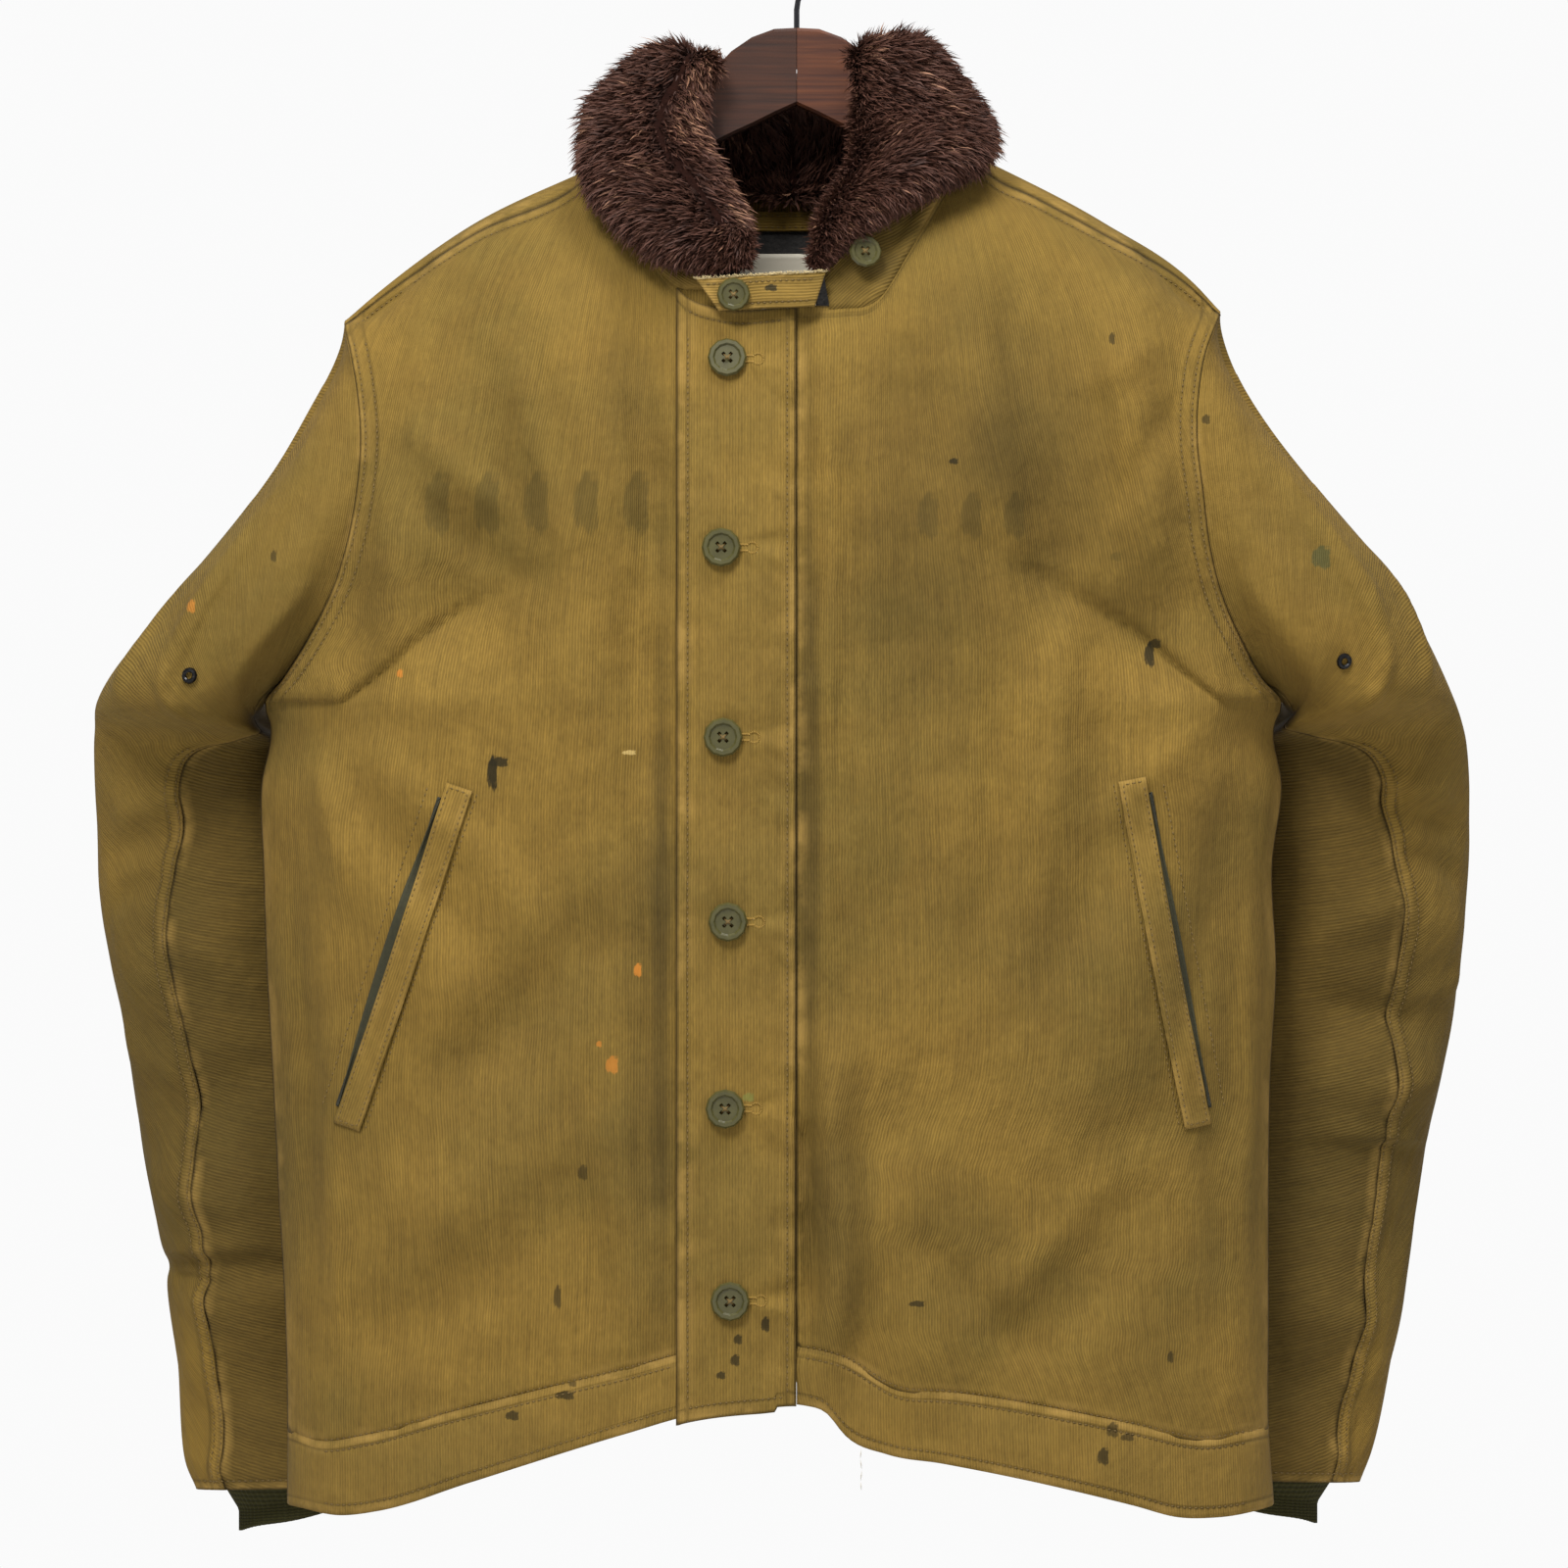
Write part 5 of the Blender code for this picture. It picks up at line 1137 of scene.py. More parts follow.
# Collar, cloth side: the stand that carries the pile. A row of the table is a section: the pile's
# roll (inner) edge, its outer edge and half its thickness. The cloth leaves the neck seam at
# neck_x, meets the pile at the angle hug and ends at the angle rim.
COLLAR = Table(
    "row roll_x roll_y roll_drop out_x out_y out_drop half neck_x hug rim",
    (0, -21, -76, 130, -50, -78, 134, 5, -36, 300, 335),
    (1, -24, -74, 112, -76, -76, 124, 10, -58, 300, 335),
    (2, -33, -63, 92, -102, -63, 98, 13, -80, 300, 335),
    (3, -43, -50, 74, -112, -46, 78, 14, -91, 297, 335),
    (4, -49, -36, 57, -112, -28, 60, 14, -97, 292, 335),
    (5, -47, -27, 38, -108, -8, 42, 14, -101, 285, 325),
    (6, -43, -21, 20, -90, 8, 24, 12, -101, 275, 304),
    (7, -66, 16, 52, -66, 28, 11, 10, -88, 258, 316),
    (8, -46, 26, 80, -38, 40, 19, 9, -60, 245, 335),
    (9, -1.5, 29, 93, -1.5, 42, 28, 9, -1.5, 242, 335),
    (10, 42, 26, 78, 34, 40, 15, 9, 54, 245, 335),
    (11, 67, 16, 50, 58, 28, 6, 10, 80, 258, 316),
    (11.5, 60, -5, 27, 70, 17, 10, 10, 86, 266, 310),
    (12, 34, -27, 14, 78, -3, 18, 10, 90, 275, 308),
    (13, 31, -33, 36, 94, -13, 38, 13, 91, 285, 325),
    (14, 30, -38, 56, 103, -28, 56, 14, 88, 292, 335),
    (15, 29, -50, 72, 99, -46, 73, 14, 80, 296, 335),
    (16, 21, -62, 90, 72, -64, 88, 12, 66, 290, 335),
    (17, 12, -73, 108, 44, -77, 104, 9, 46, 285, 335),
    (18, 4, -76, 128, 14, -78, 134, 5, 14, 285, 335),
)
COLLAR_LAST = 18


def unit(vectors):
    return vectors / np.maximum(np.linalg.norm(vectors, axis=-1, keepdims=True), 1e-9)


def collar_frame(row):
    """Centre, half width vector and half thickness of sections of the collar."""
    c = {name: COLLAR.at(name, row) for name in COLLAR.columns}
    roll = np.stack([c["roll_x"], c["roll_y"], c["roll_drop"]], axis=-1)
    out = np.stack([c["out_x"], c["out_y"], c["out_drop"]], axis=-1)
    return (roll + out) / 2, (out - roll) / 2, c["half"]


def collar_at(row, angle, out=0.0):
    """Points round the pile: 0 at its outer edge, 90 on the side that shows, 180 at the roll."""
    row, angle, out = np.broadcast_arrays(*(np.asarray(v, float) for v in (row, angle, out)))
    centre, reach, half = collar_frame(row)
    ahead = collar_frame(np.minimum(row + 0.4, COLLAR_LAST))[0] - collar_frame(np.maximum(row - 0.4, 0))[0]
    normal = unit(np.cross(ahead, reach))
    turn = np.radians(angle)[..., None]
    wide = np.linalg.norm(reach, axis=-1, keepdims=True)
    place = centre + reach * np.cos(turn) * (1 + out[..., None] / wide)
    return place - normal * np.sin(turn) * (half + out)[..., None]


def top_edge(grid, x):
    """A point of a panel's top edge at each x."""
    line = grid[0][np.argsort(grid[0][:, 0])]
    return np.stack([x, np.interp(x, line[:, 0], line[:, 1]), np.interp(x, line[:, 0], line[:, 2])], axis=-1)


collar_rows = spread(0.12, COLLAR_LAST - 0.12, 200)
neck_x = COLLAR.at("neck_x", collar_rows)
behind = (ease(collar_rows, 5.3, 6.5) * ease(-collar_rows, -12.7, -11.5))[:, None]
ahead = np.where((neck_x < 0)[:, None], top_edge(front_grids["left"], neck_x),
                 top_edge(front_grids["right"], neck_x))
over = top_edge(back_grid[3:], neck_x)
neck_line = ahead + (over - ahead) * behind
neck_line[:, 2] -= 5 * (behind * (1 - behind))[:, 0]
inward = np.sign(neck_x) * np.minimum(np.abs(neck_x) / 90, 1)
tucked = neck_line + np.stack([-inward * 3.0, 2.4 - 4.4 * behind[:, 0], np.full_like(neck_x, 4.5)], axis=-1)
rising = neck_line + np.stack([-inward * 0.8, -0.4 + 0.6 * behind[:, 0], np.full_like(neck_x, 0.4)], axis=-1)
hug, rim = COLLAR.at("hug", collar_rows), COLLAR.at("rim", collar_rows)
side_by = [collar_at(collar_rows, hug + (rim - hug) * t, 2.2) for t in (0, 0.34, 0.67, 1.0)]
set_in = np.stack([inward * 1.4, 0 * inward, 0 * inward], axis=-1)
knots = [tucked, rising, (rising + side_by[0]) / 2 - set_in, *side_by]
collar_grid = []
for k in range(len(knots) - 1):
    before, a, b, after = knots[max(k - 1, 0)], knots[k], knots[k + 1], knots[min(k + 2, len(knots) - 1)]
    for t in np.linspace(0, 1, 7)[:-1]:
        slope_a, slope_b = (b - before) / 2, (after - a) / 2
        collar_grid.append((2 * t**3 - 3 * t**2 + 1) * a + (t**3 - 2 * t**2 + t) * slope_a
                           + (3 * t**2 - 2 * t**3) * b + (t**3 - t**2) * slope_b)
collar_grid.append(knots[-1])
collar_grid = np.array(collar_grid).transpose(1, 0, 2)
climb = lengths(collar_grid, 1)
round_by = lengths(collar_grid, 0)
facing_out = unit(np.cross(np.gradient(collar_grid, axis=1), np.gradient(collar_grid, axis=0)))
wavy = 0.9 * sway(round_by / 9, climb / 14, 2.0) * ease(climb, 6, 14)
wavy += 0.4 * sway(round_by / 2.6, climb / 8, 5.0) * np.exp(-((climb - 9) / 6) ** 2)
wavy += 0.8 * ease(climb, 4.5, 5.5) * ease(-climb, -13, -11)
outward = np.sign(facing_out[..., [1]] + 1e-9) * np.where(behind > 0.5, -1, 1)[:, None]
collar_grid = collar_grid - facing_out * wavy[..., None] * outward
# The stand is darkened partly as unfaded cloth and partly as painted shade under the pile, with one more
# patch of painted shade near the neck on the right.
collar_cotton = cotton("grosgrain_collar", unfaded_and_shade=0.3, painted_shades=((45, 130, 14, 10, 0.5),))
collar_cloth = shown("collar_stand_cloth", collar_grid, collar_cotton, np.abs(climb - 5.0) + 0.95, wall=1.0,
                     held=("hung", ["front_left_cloth", "front_right_cloth", "back_cloth"]))
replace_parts(collar_cloth, "collar_cloth")


# Collar, pile side: long brown alpaca pile on a knitted ground. The locks lie outward and down, part
# along a groove on the left wing and stand paler beside the neck. Each lock is a curved ribbon.
dice = np.random.default_rng(7)
GROUND_SINK = 5.0
ground_rows, ground_angles = spread(0.0, COLLAR_LAST, 180), spread(-28, 205, 40)
ground_rows, ground_angles = ground_rows[:, None], ground_angles[None, :]
uneven = 1.2 * sway(ground_rows * 5, ground_angles / 9, 2.0)
ground = collar_at(ground_rows, ground_angles, -GROUND_SINK + uneven)
pile_ground = speckled("pile_ground_knit", 1.0, 260.0, "#0E0605", "#24120C", detail=5.0, bump=(0.9, 0.003),
                       Specular_IOR_Level=0.05)
ground_piece = shown("collar_pile_ground", ground, pile_ground, wall=1.5)
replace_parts(ground_piece, "collar_fur")


def pile_material(name, dark, light):
    """Soft fibres: dark at the root, lighter and warmer at the tip, each lock its own shade."""
    made, tree, shader = finish_named(name, 0.7, Specular_IOR_Level=0.25)
    tip = node(tree, "Attribute", attribute_name="tip").outputs["Fac"]
    shade = node(tree, "Attribute", attribute_name="shade").outputs["Fac"]
    tone = blend(tree, tip, dark, light)
    pale = ramp(tree, shade, 0.9, 1.0, end=0.55)
    tone = blend(tree, pale, tone, "#9A7258")
    deep = ramp(tree, shade, 0.0, 0.35, 0.55, 0.0)
    tone = blend(tree, deep, tone, "#140907")
    tree.links.new(tone, shader.inputs["Base Color"])
    return made


def pile(name, first, last, count, material):
    """Locks of fibre between two rows of the collar, gathered into clumps."""
    row = dice.uniform(first, last, count)
    angle = dice.uniform(-38, 200, count)
    clump_row, clump_angle = np.round(row * 3.4) / 3.4, np.round(angle / 13) * 13
    clump_row = clump_row + 0.13 * np.sin(clump_angle * 3.1)
    pull = dice.uniform(0.25, 0.75, count)
    root = collar_at(row, angle, -GROUND_SINK - 0.5)
    lift = collar_at(row, angle, 0.0) - root
    normal = unit(lift)
    step = 2.0
    outward = unit(collar_at(row, angle - step, 0.0) - collar_at(row, angle + step, 0.0))
    before, after = np.maximum(row - 0.05, 0), np.minimum(row + 0.05, COLLAR_LAST)
    on = unit(collar_at(after, angle, 0.0) - collar_at(before, angle, 0.0))
    # Along the collar the pile leans to the nearer front end, with local whorls.
    lean = np.where(row < 9, -1.0, 1.0) * 0.45 + 0.55 * sway(row * 2.1, angle / 26, 3.0)
    flow = unit(outward * (0.75 + 0.3 * sway(row * 1.7, angle / 30, 6.0))[:, None] + on * lean[:, None])
    # The parting: on the left wing the locks turn away from a line at three quarters of its width.
    part_line = 118 + 10 * np.sin(row * 1.3)
    parted = (angle > part_line) & (row < 6.5) & (row > 1.2)
    flow = np.where(parted[:, None], unit(-outward * 0.35 + on * (lean - 0.5)[:, None] * 0.9), flow)
    near_part = np.exp(-((angle - part_line) / 7.0) ** 2) * (row < 6.5) * (row > 1.2)
    long = dice.uniform(10.5, 18.5, count) * (1 - 0.3 * near_part) * (1 - 0.3 * (angle > 165))
    long = long * ease(row, -0.6, 1.4) * ease(-row, -COLLAR_LAST - 0.6, -COLLAR_LAST + 1.4)
    rise = dice.uniform(0.45, 0.95, count) * (1 - 0.5 * near_part)
    clump_tip = collar_at(clump_row, clump_angle, 0.0)
    tip = root + normal * (long * rise * 0.62)[:, None] + flow * (long * 0.72)[:, None]
    toward = clump_tip + flow * 7.0 + normal * 2.0
    tip = tip + (toward - tip) * (pull * 0.45)[:, None]
    tip = tip + dice.normal(0, 1.9, (count, 3))
    bend = root + normal * (long * rise * 0.55)[:, None] + flow * (long * 0.22)[:, None]
    side_way = unit(np.cross(tip - root, dice.normal(0, 1, (count, 3))))
    thick = dice.uniform(0.33, 0.66, count)
    rings = []
    for t, share in ((0.0, 1.0), (0.4, 0.95), (0.75, 0.7)):
        spot = root * (1 - t) ** 2 + bend * 2 * t * (1 - t) + tip * t**2
        rings += [spot - side_way * (thick * share)[:, None], spot + side_way * (thick * share)[:, None]]
    verts = np.stack([*rings, tip], axis=1).reshape(-1, 3)
    base = np.arange(count)[:, None] * 7
    quads = np.concatenate([base + np.array((0, 1, 3, 2)), base + np.array((2, 3, 5, 4))])
    tris = base + np.array((4, 5, 6))
    mesh = bpy.data.meshes.new(name)
    mesh.from_pydata(point(verts).tolist(), [], quads.tolist() + tris.tolist())
    shade = dice.beta(2, 2, count) + 0.25 * sway(row * 3, angle / 12, 1.0) + 0.22 * parted
    shade = np.clip(shade - 0.6 * near_part, 0, 1)
    for key, values in (("tip", np.tile((0, 0, 0.45, 0.45, 0.8, 0.8, 1.0), count)),
                        ("shade", np.repeat(shade, 7))):
        mesh.attributes.new(key, "FLOAT", "POINT").data.foreach_set("value", values)
    piece = placed(name, mesh, material)
    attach(piece, "root")
    return piece


fibre = pile_material("alpaca_pile", "#080302", "#4A2C20")
for name, first, last, count in (
    # name, first and last row of the collar, locks
    ("collar_pile_left", 0.0, 6.6, 24000),
    ("collar_pile_back", 6.4, 11.8, 15000),
    ("collar_pile_right", 11.6, 18.0, 24000),
):
    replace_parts(pile(name, first, last, count, fibre), "collar_fur")


# Throat tab: a short doubled strap that closes the collar. Its upper edge is worn through to cream
# threads, with one small tear.
cream = speckled("frayed_cotton_thread", 0.9, 700.0, "#8E7848", "#C4B48A")
u, v = spread(0, 1, 90)[None, :], spread(0, 1, 24)[:, None]
tab_x = (-53 + 69 * u) * (1 - v) + (-41 + 51 * u) * v
tab_drop = (138 - 4 * u) * (1 - v) + (155 - 2 * u) * v + 0.5 * np.sin(u * 9) * (1 - v)
tab_y = -83.4 - 1.6 * np.sin(np.pi * u) - 1.0 * np.sin(np.pi * v) - 0.6 * np.exp(-((v - 0.16) / 0.1) ** 2)
tab_y = tab_y + 0.4 * sway(u * 14, v * 5, 3.0)
tab_grid = np.stack(np.broadcast_arrays(tab_x, tab_y, tab_drop), axis=-1)
# The small tear is only a dark spot on the cloth: painted shade inside the tear.
tab_cotton = cotton("grosgrain_tab", across=True, stains=((-13, 143, 3.2, 1.8, "#2A2412", 0.95),), paler=0.2)
tab_edge = np.minimum(np.minimum(v, 1 - v) * 17, np.minimum(u, 1 - u) * 60)
tab_rows = np.minimum(np.abs(v - 0.18), np.abs(v - 0.84)) * 17 + 0 * u
tab_piece = shown("throat_tab_cloth", tab_grid, tab_cotton, np.maximum(tab_edge, 0.95), wall=1.6,
                  held=("stretched", ["collar_stand_cloth"]), rows=tab_rows)
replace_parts(tab_piece, "throat_tab")


def threads(name, starts, ends, radius, material):
    """Short yarns as slim six-sided spindles, all in one mesh."""
    starts, ends = np.asarray(starts, float), np.asarray(ends, float)
    along = unit(ends - starts)
    ref = np.where(np.abs(along[:, [1]]) > 0.9, np.array((1.0, 0, 0)), np.array((0, 1.0, 0)))
    a = unit(np.cross(along, ref))
    b = np.cross(along, a)
    middle = (starts + ends) / 2
    width = np.broadcast_to(np.asarray(radius, float), (len(starts),))[:, None]
    a, b = a * width, b * width
    verts = np.stack([starts, ends, middle + a, middle + b, middle - a, middle - b], axis=1)
    base = np.arange(len(starts))[:, None, None] * 6
    ring = np.array([(0, 3, 2), (0, 4, 3), (0, 5, 4), (0, 2, 5), (1, 2, 3), (1, 3, 4), (1, 4, 5), (1, 5, 2)])
    mesh = bpy.data.meshes.new(name)
    mesh.from_pydata(point(verts.reshape(-1, 3)).tolist(), [], (base + ring).reshape(-1, 3).tolist())
    piece = placed(name, mesh, material)
    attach(piece, "root")
    return piece


FRAYS = 420
where = dice.uniform(0, 1, FRAYS)
fray_start = np.stack([-53 + 69 * where, -84.2 - 1.6 * np.sin(np.pi * where), 138.6 - 4 * where], axis=-1)
frayed = [dice.normal(0, 1.3, FRAYS), dice.normal(-0.5, 0.5, FRAYS), -dice.uniform(0.2, 2.2, FRAYS)]
fray_end = fray_start + np.stack(frayed, axis=-1)
threads("throat_tab_fray", fray_start, fray_end, 0.16, cream)


# Inside of the neck: near-black pile lining on the back, a double-stitched tape under the collar and
# a plain woven label.
LINING = Table(
    "drop half",
    (97, 60),
    (125, 66),
    (165, 60),
    (196, 40),
)


def inside_back(name, drops, halves, depth, material, wall, count, held, far_right=99.0):
    """A piece that lies on the inside of the back, depth in from its outer face."""
    rows = []
    for drop, half in zip(drops, halves):
        x = spread(-half, min(half, far_right), count)
        side_points = []
        for value in x:
            side = "left" if value < 0 else "right"
            share = 1 - value / float(edge_x(side, np.array(drop), 1))
            side_points.append(body(side, share, drop, 1))
        rows.append(side_points)
    grid = np.array(rows)
    grid[..., 1] -= depth
    return shown(name, grid, material, wall=wall, held=held)


dark = speckled("black_pile_lining", 0.95, 420.0, "#0B0A09", "#2A2622", detail=5.0, bump=(0.8, 0.002),
                Sheen_Weight=0.4, Sheen_Roughness=0.4)
lining_drops = spread(97, 196, 44)
piece = inside_back("neck_lining_pile", lining_drops, LINING.at("half", lining_drops), WALL + 4.0,
                    dark, 1.0, 60, ("hung", ["back_cloth"]))
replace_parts(piece, "neck_lining")
tape = cotton("grosgrain_tape", across=True, paler=0.1)
piece = inside_back("neck_tape_cloth", spread(96.5, 107, 8), (59,) * 9, WALL + 5.8, tape, 1.0, 60,
                    ("hung", ["back_cloth"]))
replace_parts(piece, "neck_tape")
woven, tree, shader = finish_named("woven_label_satin", 0.55, Sheen_Weight=0.1)
flat = node(tree, "UVMap", uv_map="cloth").outputs[0]
picks = node(tree, "TexWave", {"Vector": flat, "Scale": lines_apart(0.0006), "Distortion": 0.3},
             bands_direction="Y")
tone = blend(tree, picks.outputs["Fac"], "#968E7C", "#C2BAA8")
tree.links.new(tone, shader.inputs["Base Color"])
embossed(tree, shader, picks.outputs["Fac"], 0.3, 0.0002)
piece = inside_back("neck_label_woven", spread(119, 150, 12), (30,) * 13, WALL + 5.4, woven, 0.5, 40,
                    ("laid", ["neck_lining_pile"]), 11.0)
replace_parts(piece, "neck_label")


# Pockets: a slanting welt on each front, folded and topstitched all round, its outer side open with
# a strip of facing inside the mouth, near-black partly for its darker cloth and partly as painted shade in
# the open mouth.
WELTS = {
    "left": ((-178, 407), (-239, 588), 2.6),
    "right": ((178, 403), (214, 588), 1.6),
}


def tree_of(name):
    mesh = bpy.data.objects[name].data
    places = [v.co.copy() for v in mesh.vertices]
    return BVHTree.FromPolygons(places, [tuple(p.vertices) for p in mesh.polygons])


trees = {}


def seen(names, x, drop, out=0.0, face=-1):
    """The named pieces' surface straight ahead of the viewer, or of one behind, moved out."""
    best = None
    for name in names:
        if name not in trees:
            trees[name] = tree_of(name)
        start = Vector(point((x, face * 400, drop)))
        hit = trees[name].ray_cast(start, Vector((0, -face, 0)))[0]
        if hit is not None and (best is None or face * (hit.y * 1000 - best) > 0):
            best = hit.y * 1000
    return None if best is None else np.array((x, best + face * out, drop))


def mouth(side):
    """Where a pocket mouth starts, which way it runs, which way is out, its length and its lift."""
    (x0, d0), (x1, d1), off = WELTS[side]
    run = np.array((x1 - x0, d1 - d0), float)
    length = np.linalg.norm(run)
    run /= length
    return np.array((x0, d0)), run, np.array((-run[1], run[0])) * -SIGN[side], length, off


def strip(name, side, offset, width, profile, trim, material, wall, replaced, edge_scale):
    """A strip along a pocket mouth; profile gives its height above the front across its width."""
    start, run, aside, length, off = mouth(side)
    steps = np.linspace(trim, length - trim, 110)
    grid = []
    for s in steps:
        line = []
        for u, height in profile:
            sag = -SIGN[side] * math.sin(math.pi * s / length)
            reach = offset + width * u
            if offset and u > 0.2:
                # The mouth gapes in the middle and closes to a point at both ends.
                swell = GAPE[side] * math.sin(math.pi * (s - trim) / (length - 2 * trim)) ** 0.8
                reach = 7.4 + swell * (u - 0.1) / 0.4
            x, drop = start + run * s + aside * reach + np.array((sag, 0))
            spot = seen(["front_%s_cloth" % side], x, drop)
            ends = min(s - trim, length - trim - s)
            rise = height * float(ease(ends, -0.5, 1.2))
            if height > 1:
                rise += 0.25 * float(sway(np.array(s / 2.4), np.array(u * 3), 3.0))
            spot[1] -= rise + off * 0.35
            line.append(spot)
        grid.append(line)
    grid = np.array(grid)
    width_run = lengths(grid, 1)
    length_run = lengths(grid, 0)
    beside = np.minimum(width_run, width_run[:, [-1]] - width_run)
    edge = np.minimum(beside, np.minimum(length_run, length_run[-1] - length_run))
    piece = shown(name, grid, material, np.maximum(edge * edge_scale, 0.95), wall=wall, flip=side == "left",
                  held=("laid", ["front_%s_cloth" % side]))
    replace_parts(piece, replaced)


GAPE = {"left": 4.8, "right": 3.2}
WELT_PROFILE = [(-0.5, 0.1), (-0.49, 1.4), (-0.42, 2.0), (-0.3, 2.1), (-0.15, 2.2), (0.0, 2.3), (0.15, 2.2),
                (0.3, 2.2), (0.42, 2.1), (0.48, 1.7), (0.5, 0.1)]
FACING_PROFILE = [(-0.5, 0.25), (-0.2, 0.3), (0.1, 0.5), (0.35, 1.1), (0.5, 1.5)]
# The facing's near-black colour is partly the facing's own darker cloth and partly painted shade inside the
# pocket mouth.
facing_and_mouth_shade = speckled("pocket_facing_and_mouth_shade", 0.9, 500.0, "#191806", "#2E2C10", detail=3.0,
                       bump=(0.3, 0.0005))
for side in ("left", "right"):
    welt = cotton("grosgrain_welt_" + side, paler=0.08)
    name = "pocket_%s_" % side
    strip(name + "welt_cloth", side, 0, 15.0, WELT_PROFILE, 0.0, welt, 0.9, name + "welt", 1.0)
    strip(name + "facing_cloth", side, 7.9, 11.0, FACING_PROFILE, 9.0, facing_and_mouth_shade, 0.5,
          name + "facing", 0.3)


# Topstitching: gold-olive cotton thread, about eight stitches to 25 mm, in double rows beside the
# armholes and sleeve seams and single rows along every other edge.
sewing = speckled("cotton_thread_gold", 0.7, 400.0, "#453510", "#6E5622")
PITCH = 3.2


def run_of(names, x, drop, face=-1):
    """One row of stitching on the cloths it names, from the front or from behind."""
    return names, np.stack(np.broadcast_arrays(x, drop), axis=-1), face


def stitched(name, lines):
    """Rows of stitches along lines of (x, drop), laid on the cloth that each names."""
    starts, ends = [], []
    for names, line, face in lines:
        line = np.asarray(line, float)
        run = np.concatenate([[0], np.cumsum(np.hypot(*np.diff(line, axis=0).T))])
        for s in np.arange(0.6, run[-1] - 2.6, PITCH):
            pair = []
            for at in (s, s + 2.3):
                x, drop = np.interp(at, run, line[:, 0]), np.interp(at, run, line[:, 1])
                pair.append(seen(names, x, drop, 0.16, face))
            if pair[0] is None or pair[1] is None or abs(pair[0][1] - pair[1][1]) > 3.0:
                continue
            starts.append(pair[0])
            ends.append(pair[1])
    threads(name, starts, ends, 0.42, sewing)


for side in ("left", "right"):
    sign, cloth_names = SIGN[side], ["front_%s_cloth" % side]
    d = spread(TIP[side] + 12, PIT_DROP - 4, 40)
    rows = []
    for inset in (3.2, 9.4):
        x = edge_x(side, d, -1) - sign * inset
        rows.append(run_of(cloth_names, x, np.maximum(d, front_top(x) + 2)))
    x = edge_x(side, np.array(TIP[side]), -1) - sign * 6
    xs = np.linspace(float(x), sign * 100, 30)
    rows.append(run_of(cloth_names, xs, front_top(xs) + 5.2))
    x_end = -PLACKET_LEFT if side == "left" else 4
    xs = np.linspace(sign * (252 if side == "left" else 240), x_end, 40)
    rows.append(run_of(cloth_names, xs, BAND_SEAM.at("drop", xs) - 2.0))
    band_names = ["hem_band_%s_cloth" % side]
    rows.append(run_of(band_names, xs, BAND_SEAM.at("drop", xs) + 4.0))
    rows.append(run_of(band_names, xs, HEM.at("drop", xs) - 5.6))
    start, run, aside, length = mouth(side)[:4]
    welt_names = ["pocket_%s_welt_cloth" % side, "front_%s_cloth" % side]
    corners = [start + run * a + aside * b for a, b in
               ((2.2, 5.4), (2.2, -5.4), (length - 2.2, -5.4), (length - 2.2, 5.4), (2.2, 5.4))]
    around = np.concatenate([np.linspace(a, b, 30) for a, b in zip(corners, corners[1:])])
    rows.append((welt_names, around, -1))
    outer = [start + run * a + aside * b for a, b in ((5, 16.0), (length - 5, 16.0))]
    rows.append((welt_names, np.linspace(*outer, 40), -1))
    inner_line = [start + run * a - aside * b for a, b in ((0, 10.0), (length, 10.0))]
    rows.append((welt_names, np.linspace(*inner_line, 40), -1))
    stitched("stitches_front_" + side, rows)
    # Sleeve seams, front and back, on the top cut.
    rows = []
    sleeve_names = ["sleeve_%s_top_cloth" % side, "sleeve_%s_under_cloth" % side]
    along = spread(8.6, 18.95, 90)
    for which, face, way in (("front", -1, -1), ("back", 1, 1)):
        for inset in (2.4, 8.4):
            angles = seam_angle(along, which)
            spots = sleeve_at(side, along, angles + way * inset * 0.9)
            rows.append((sleeve_names, spots[:, [0, 2]], face))
    end = sleeve_at(side, np.full(60, 19.0), spread(20, 165, 59))
    rows.append((sleeve_names, end[:, [0, 2]] - np.array((0, 5.0)), -1))
    end = sleeve_at(side, np.full(60, 19.0), spread(200, 340, 59))
    rows.append((sleeve_names, end[:, [0, 2]] - np.array((0, 5.0)), 1))
    stitched("stitches_sleeve_" + side, rows)

d = spread(168, 734, 60)
placket_rows = [run_of(["placket_cloth"], -PLACKET_LEFT + 6.2, d)]
placket_rows.append(run_of(["placket_cloth"], -4.6, d - 4))
xs = spread(-PLACKET_LEFT + 6, -5, 20)
placket_rows.append(run_of(["placket_cloth"], xs, front_top(xs) + 8.0))
placket_rows.append(run_of(["placket_cloth"], xs, HEM.at("drop", xs) - 4.0))
stitched("stitches_placket", placket_rows)
tab_rows = []
for level in (0.18, 0.84):
    xs = (-53 + 69 * spread(0.04, 0.96, 20)) * (1 - level) + (-41 + 51 * spread(0.04, 0.96, 20)) * level
    tab_rows.append(run_of(["throat_tab_cloth"], xs, 138 + 17 * level - 3 * spread(0, 1, 20)))
stitched("stitches_tab", tab_rows)
tape_rows = [run_of(["neck_tape_cloth"], spread(-56, 56, 30), level) for level in (98.6, 104.8)]
stitched("stitches_tape", tape_rows)
back_rows = []
for side in ("left", "right"):
    d = spread(TIP[side] + 8, PIT_DROP - 6, 40)
    for inset in (3.0, 8.6):
        back_rows.append(run_of(["back_cloth"], edge_x(side, d, 1) - SIGN[side] * inset, d, 1))
xs = spread(-250, 240, 60)
back_rows.append(run_of(["back_cloth"], xs, BAND_SEAM.at("back", xs) - 2.0, 1))
back_rows.append(run_of(["hem_band_back_cloth"], xs, BAND_SEAM.at("back", xs) + 4.0, 1))
back_rows.append(run_of(["hem_band_back_cloth"], xs, HEM.at("back", xs) - 5.6, 1))
stitched("stitches_back", back_rows)
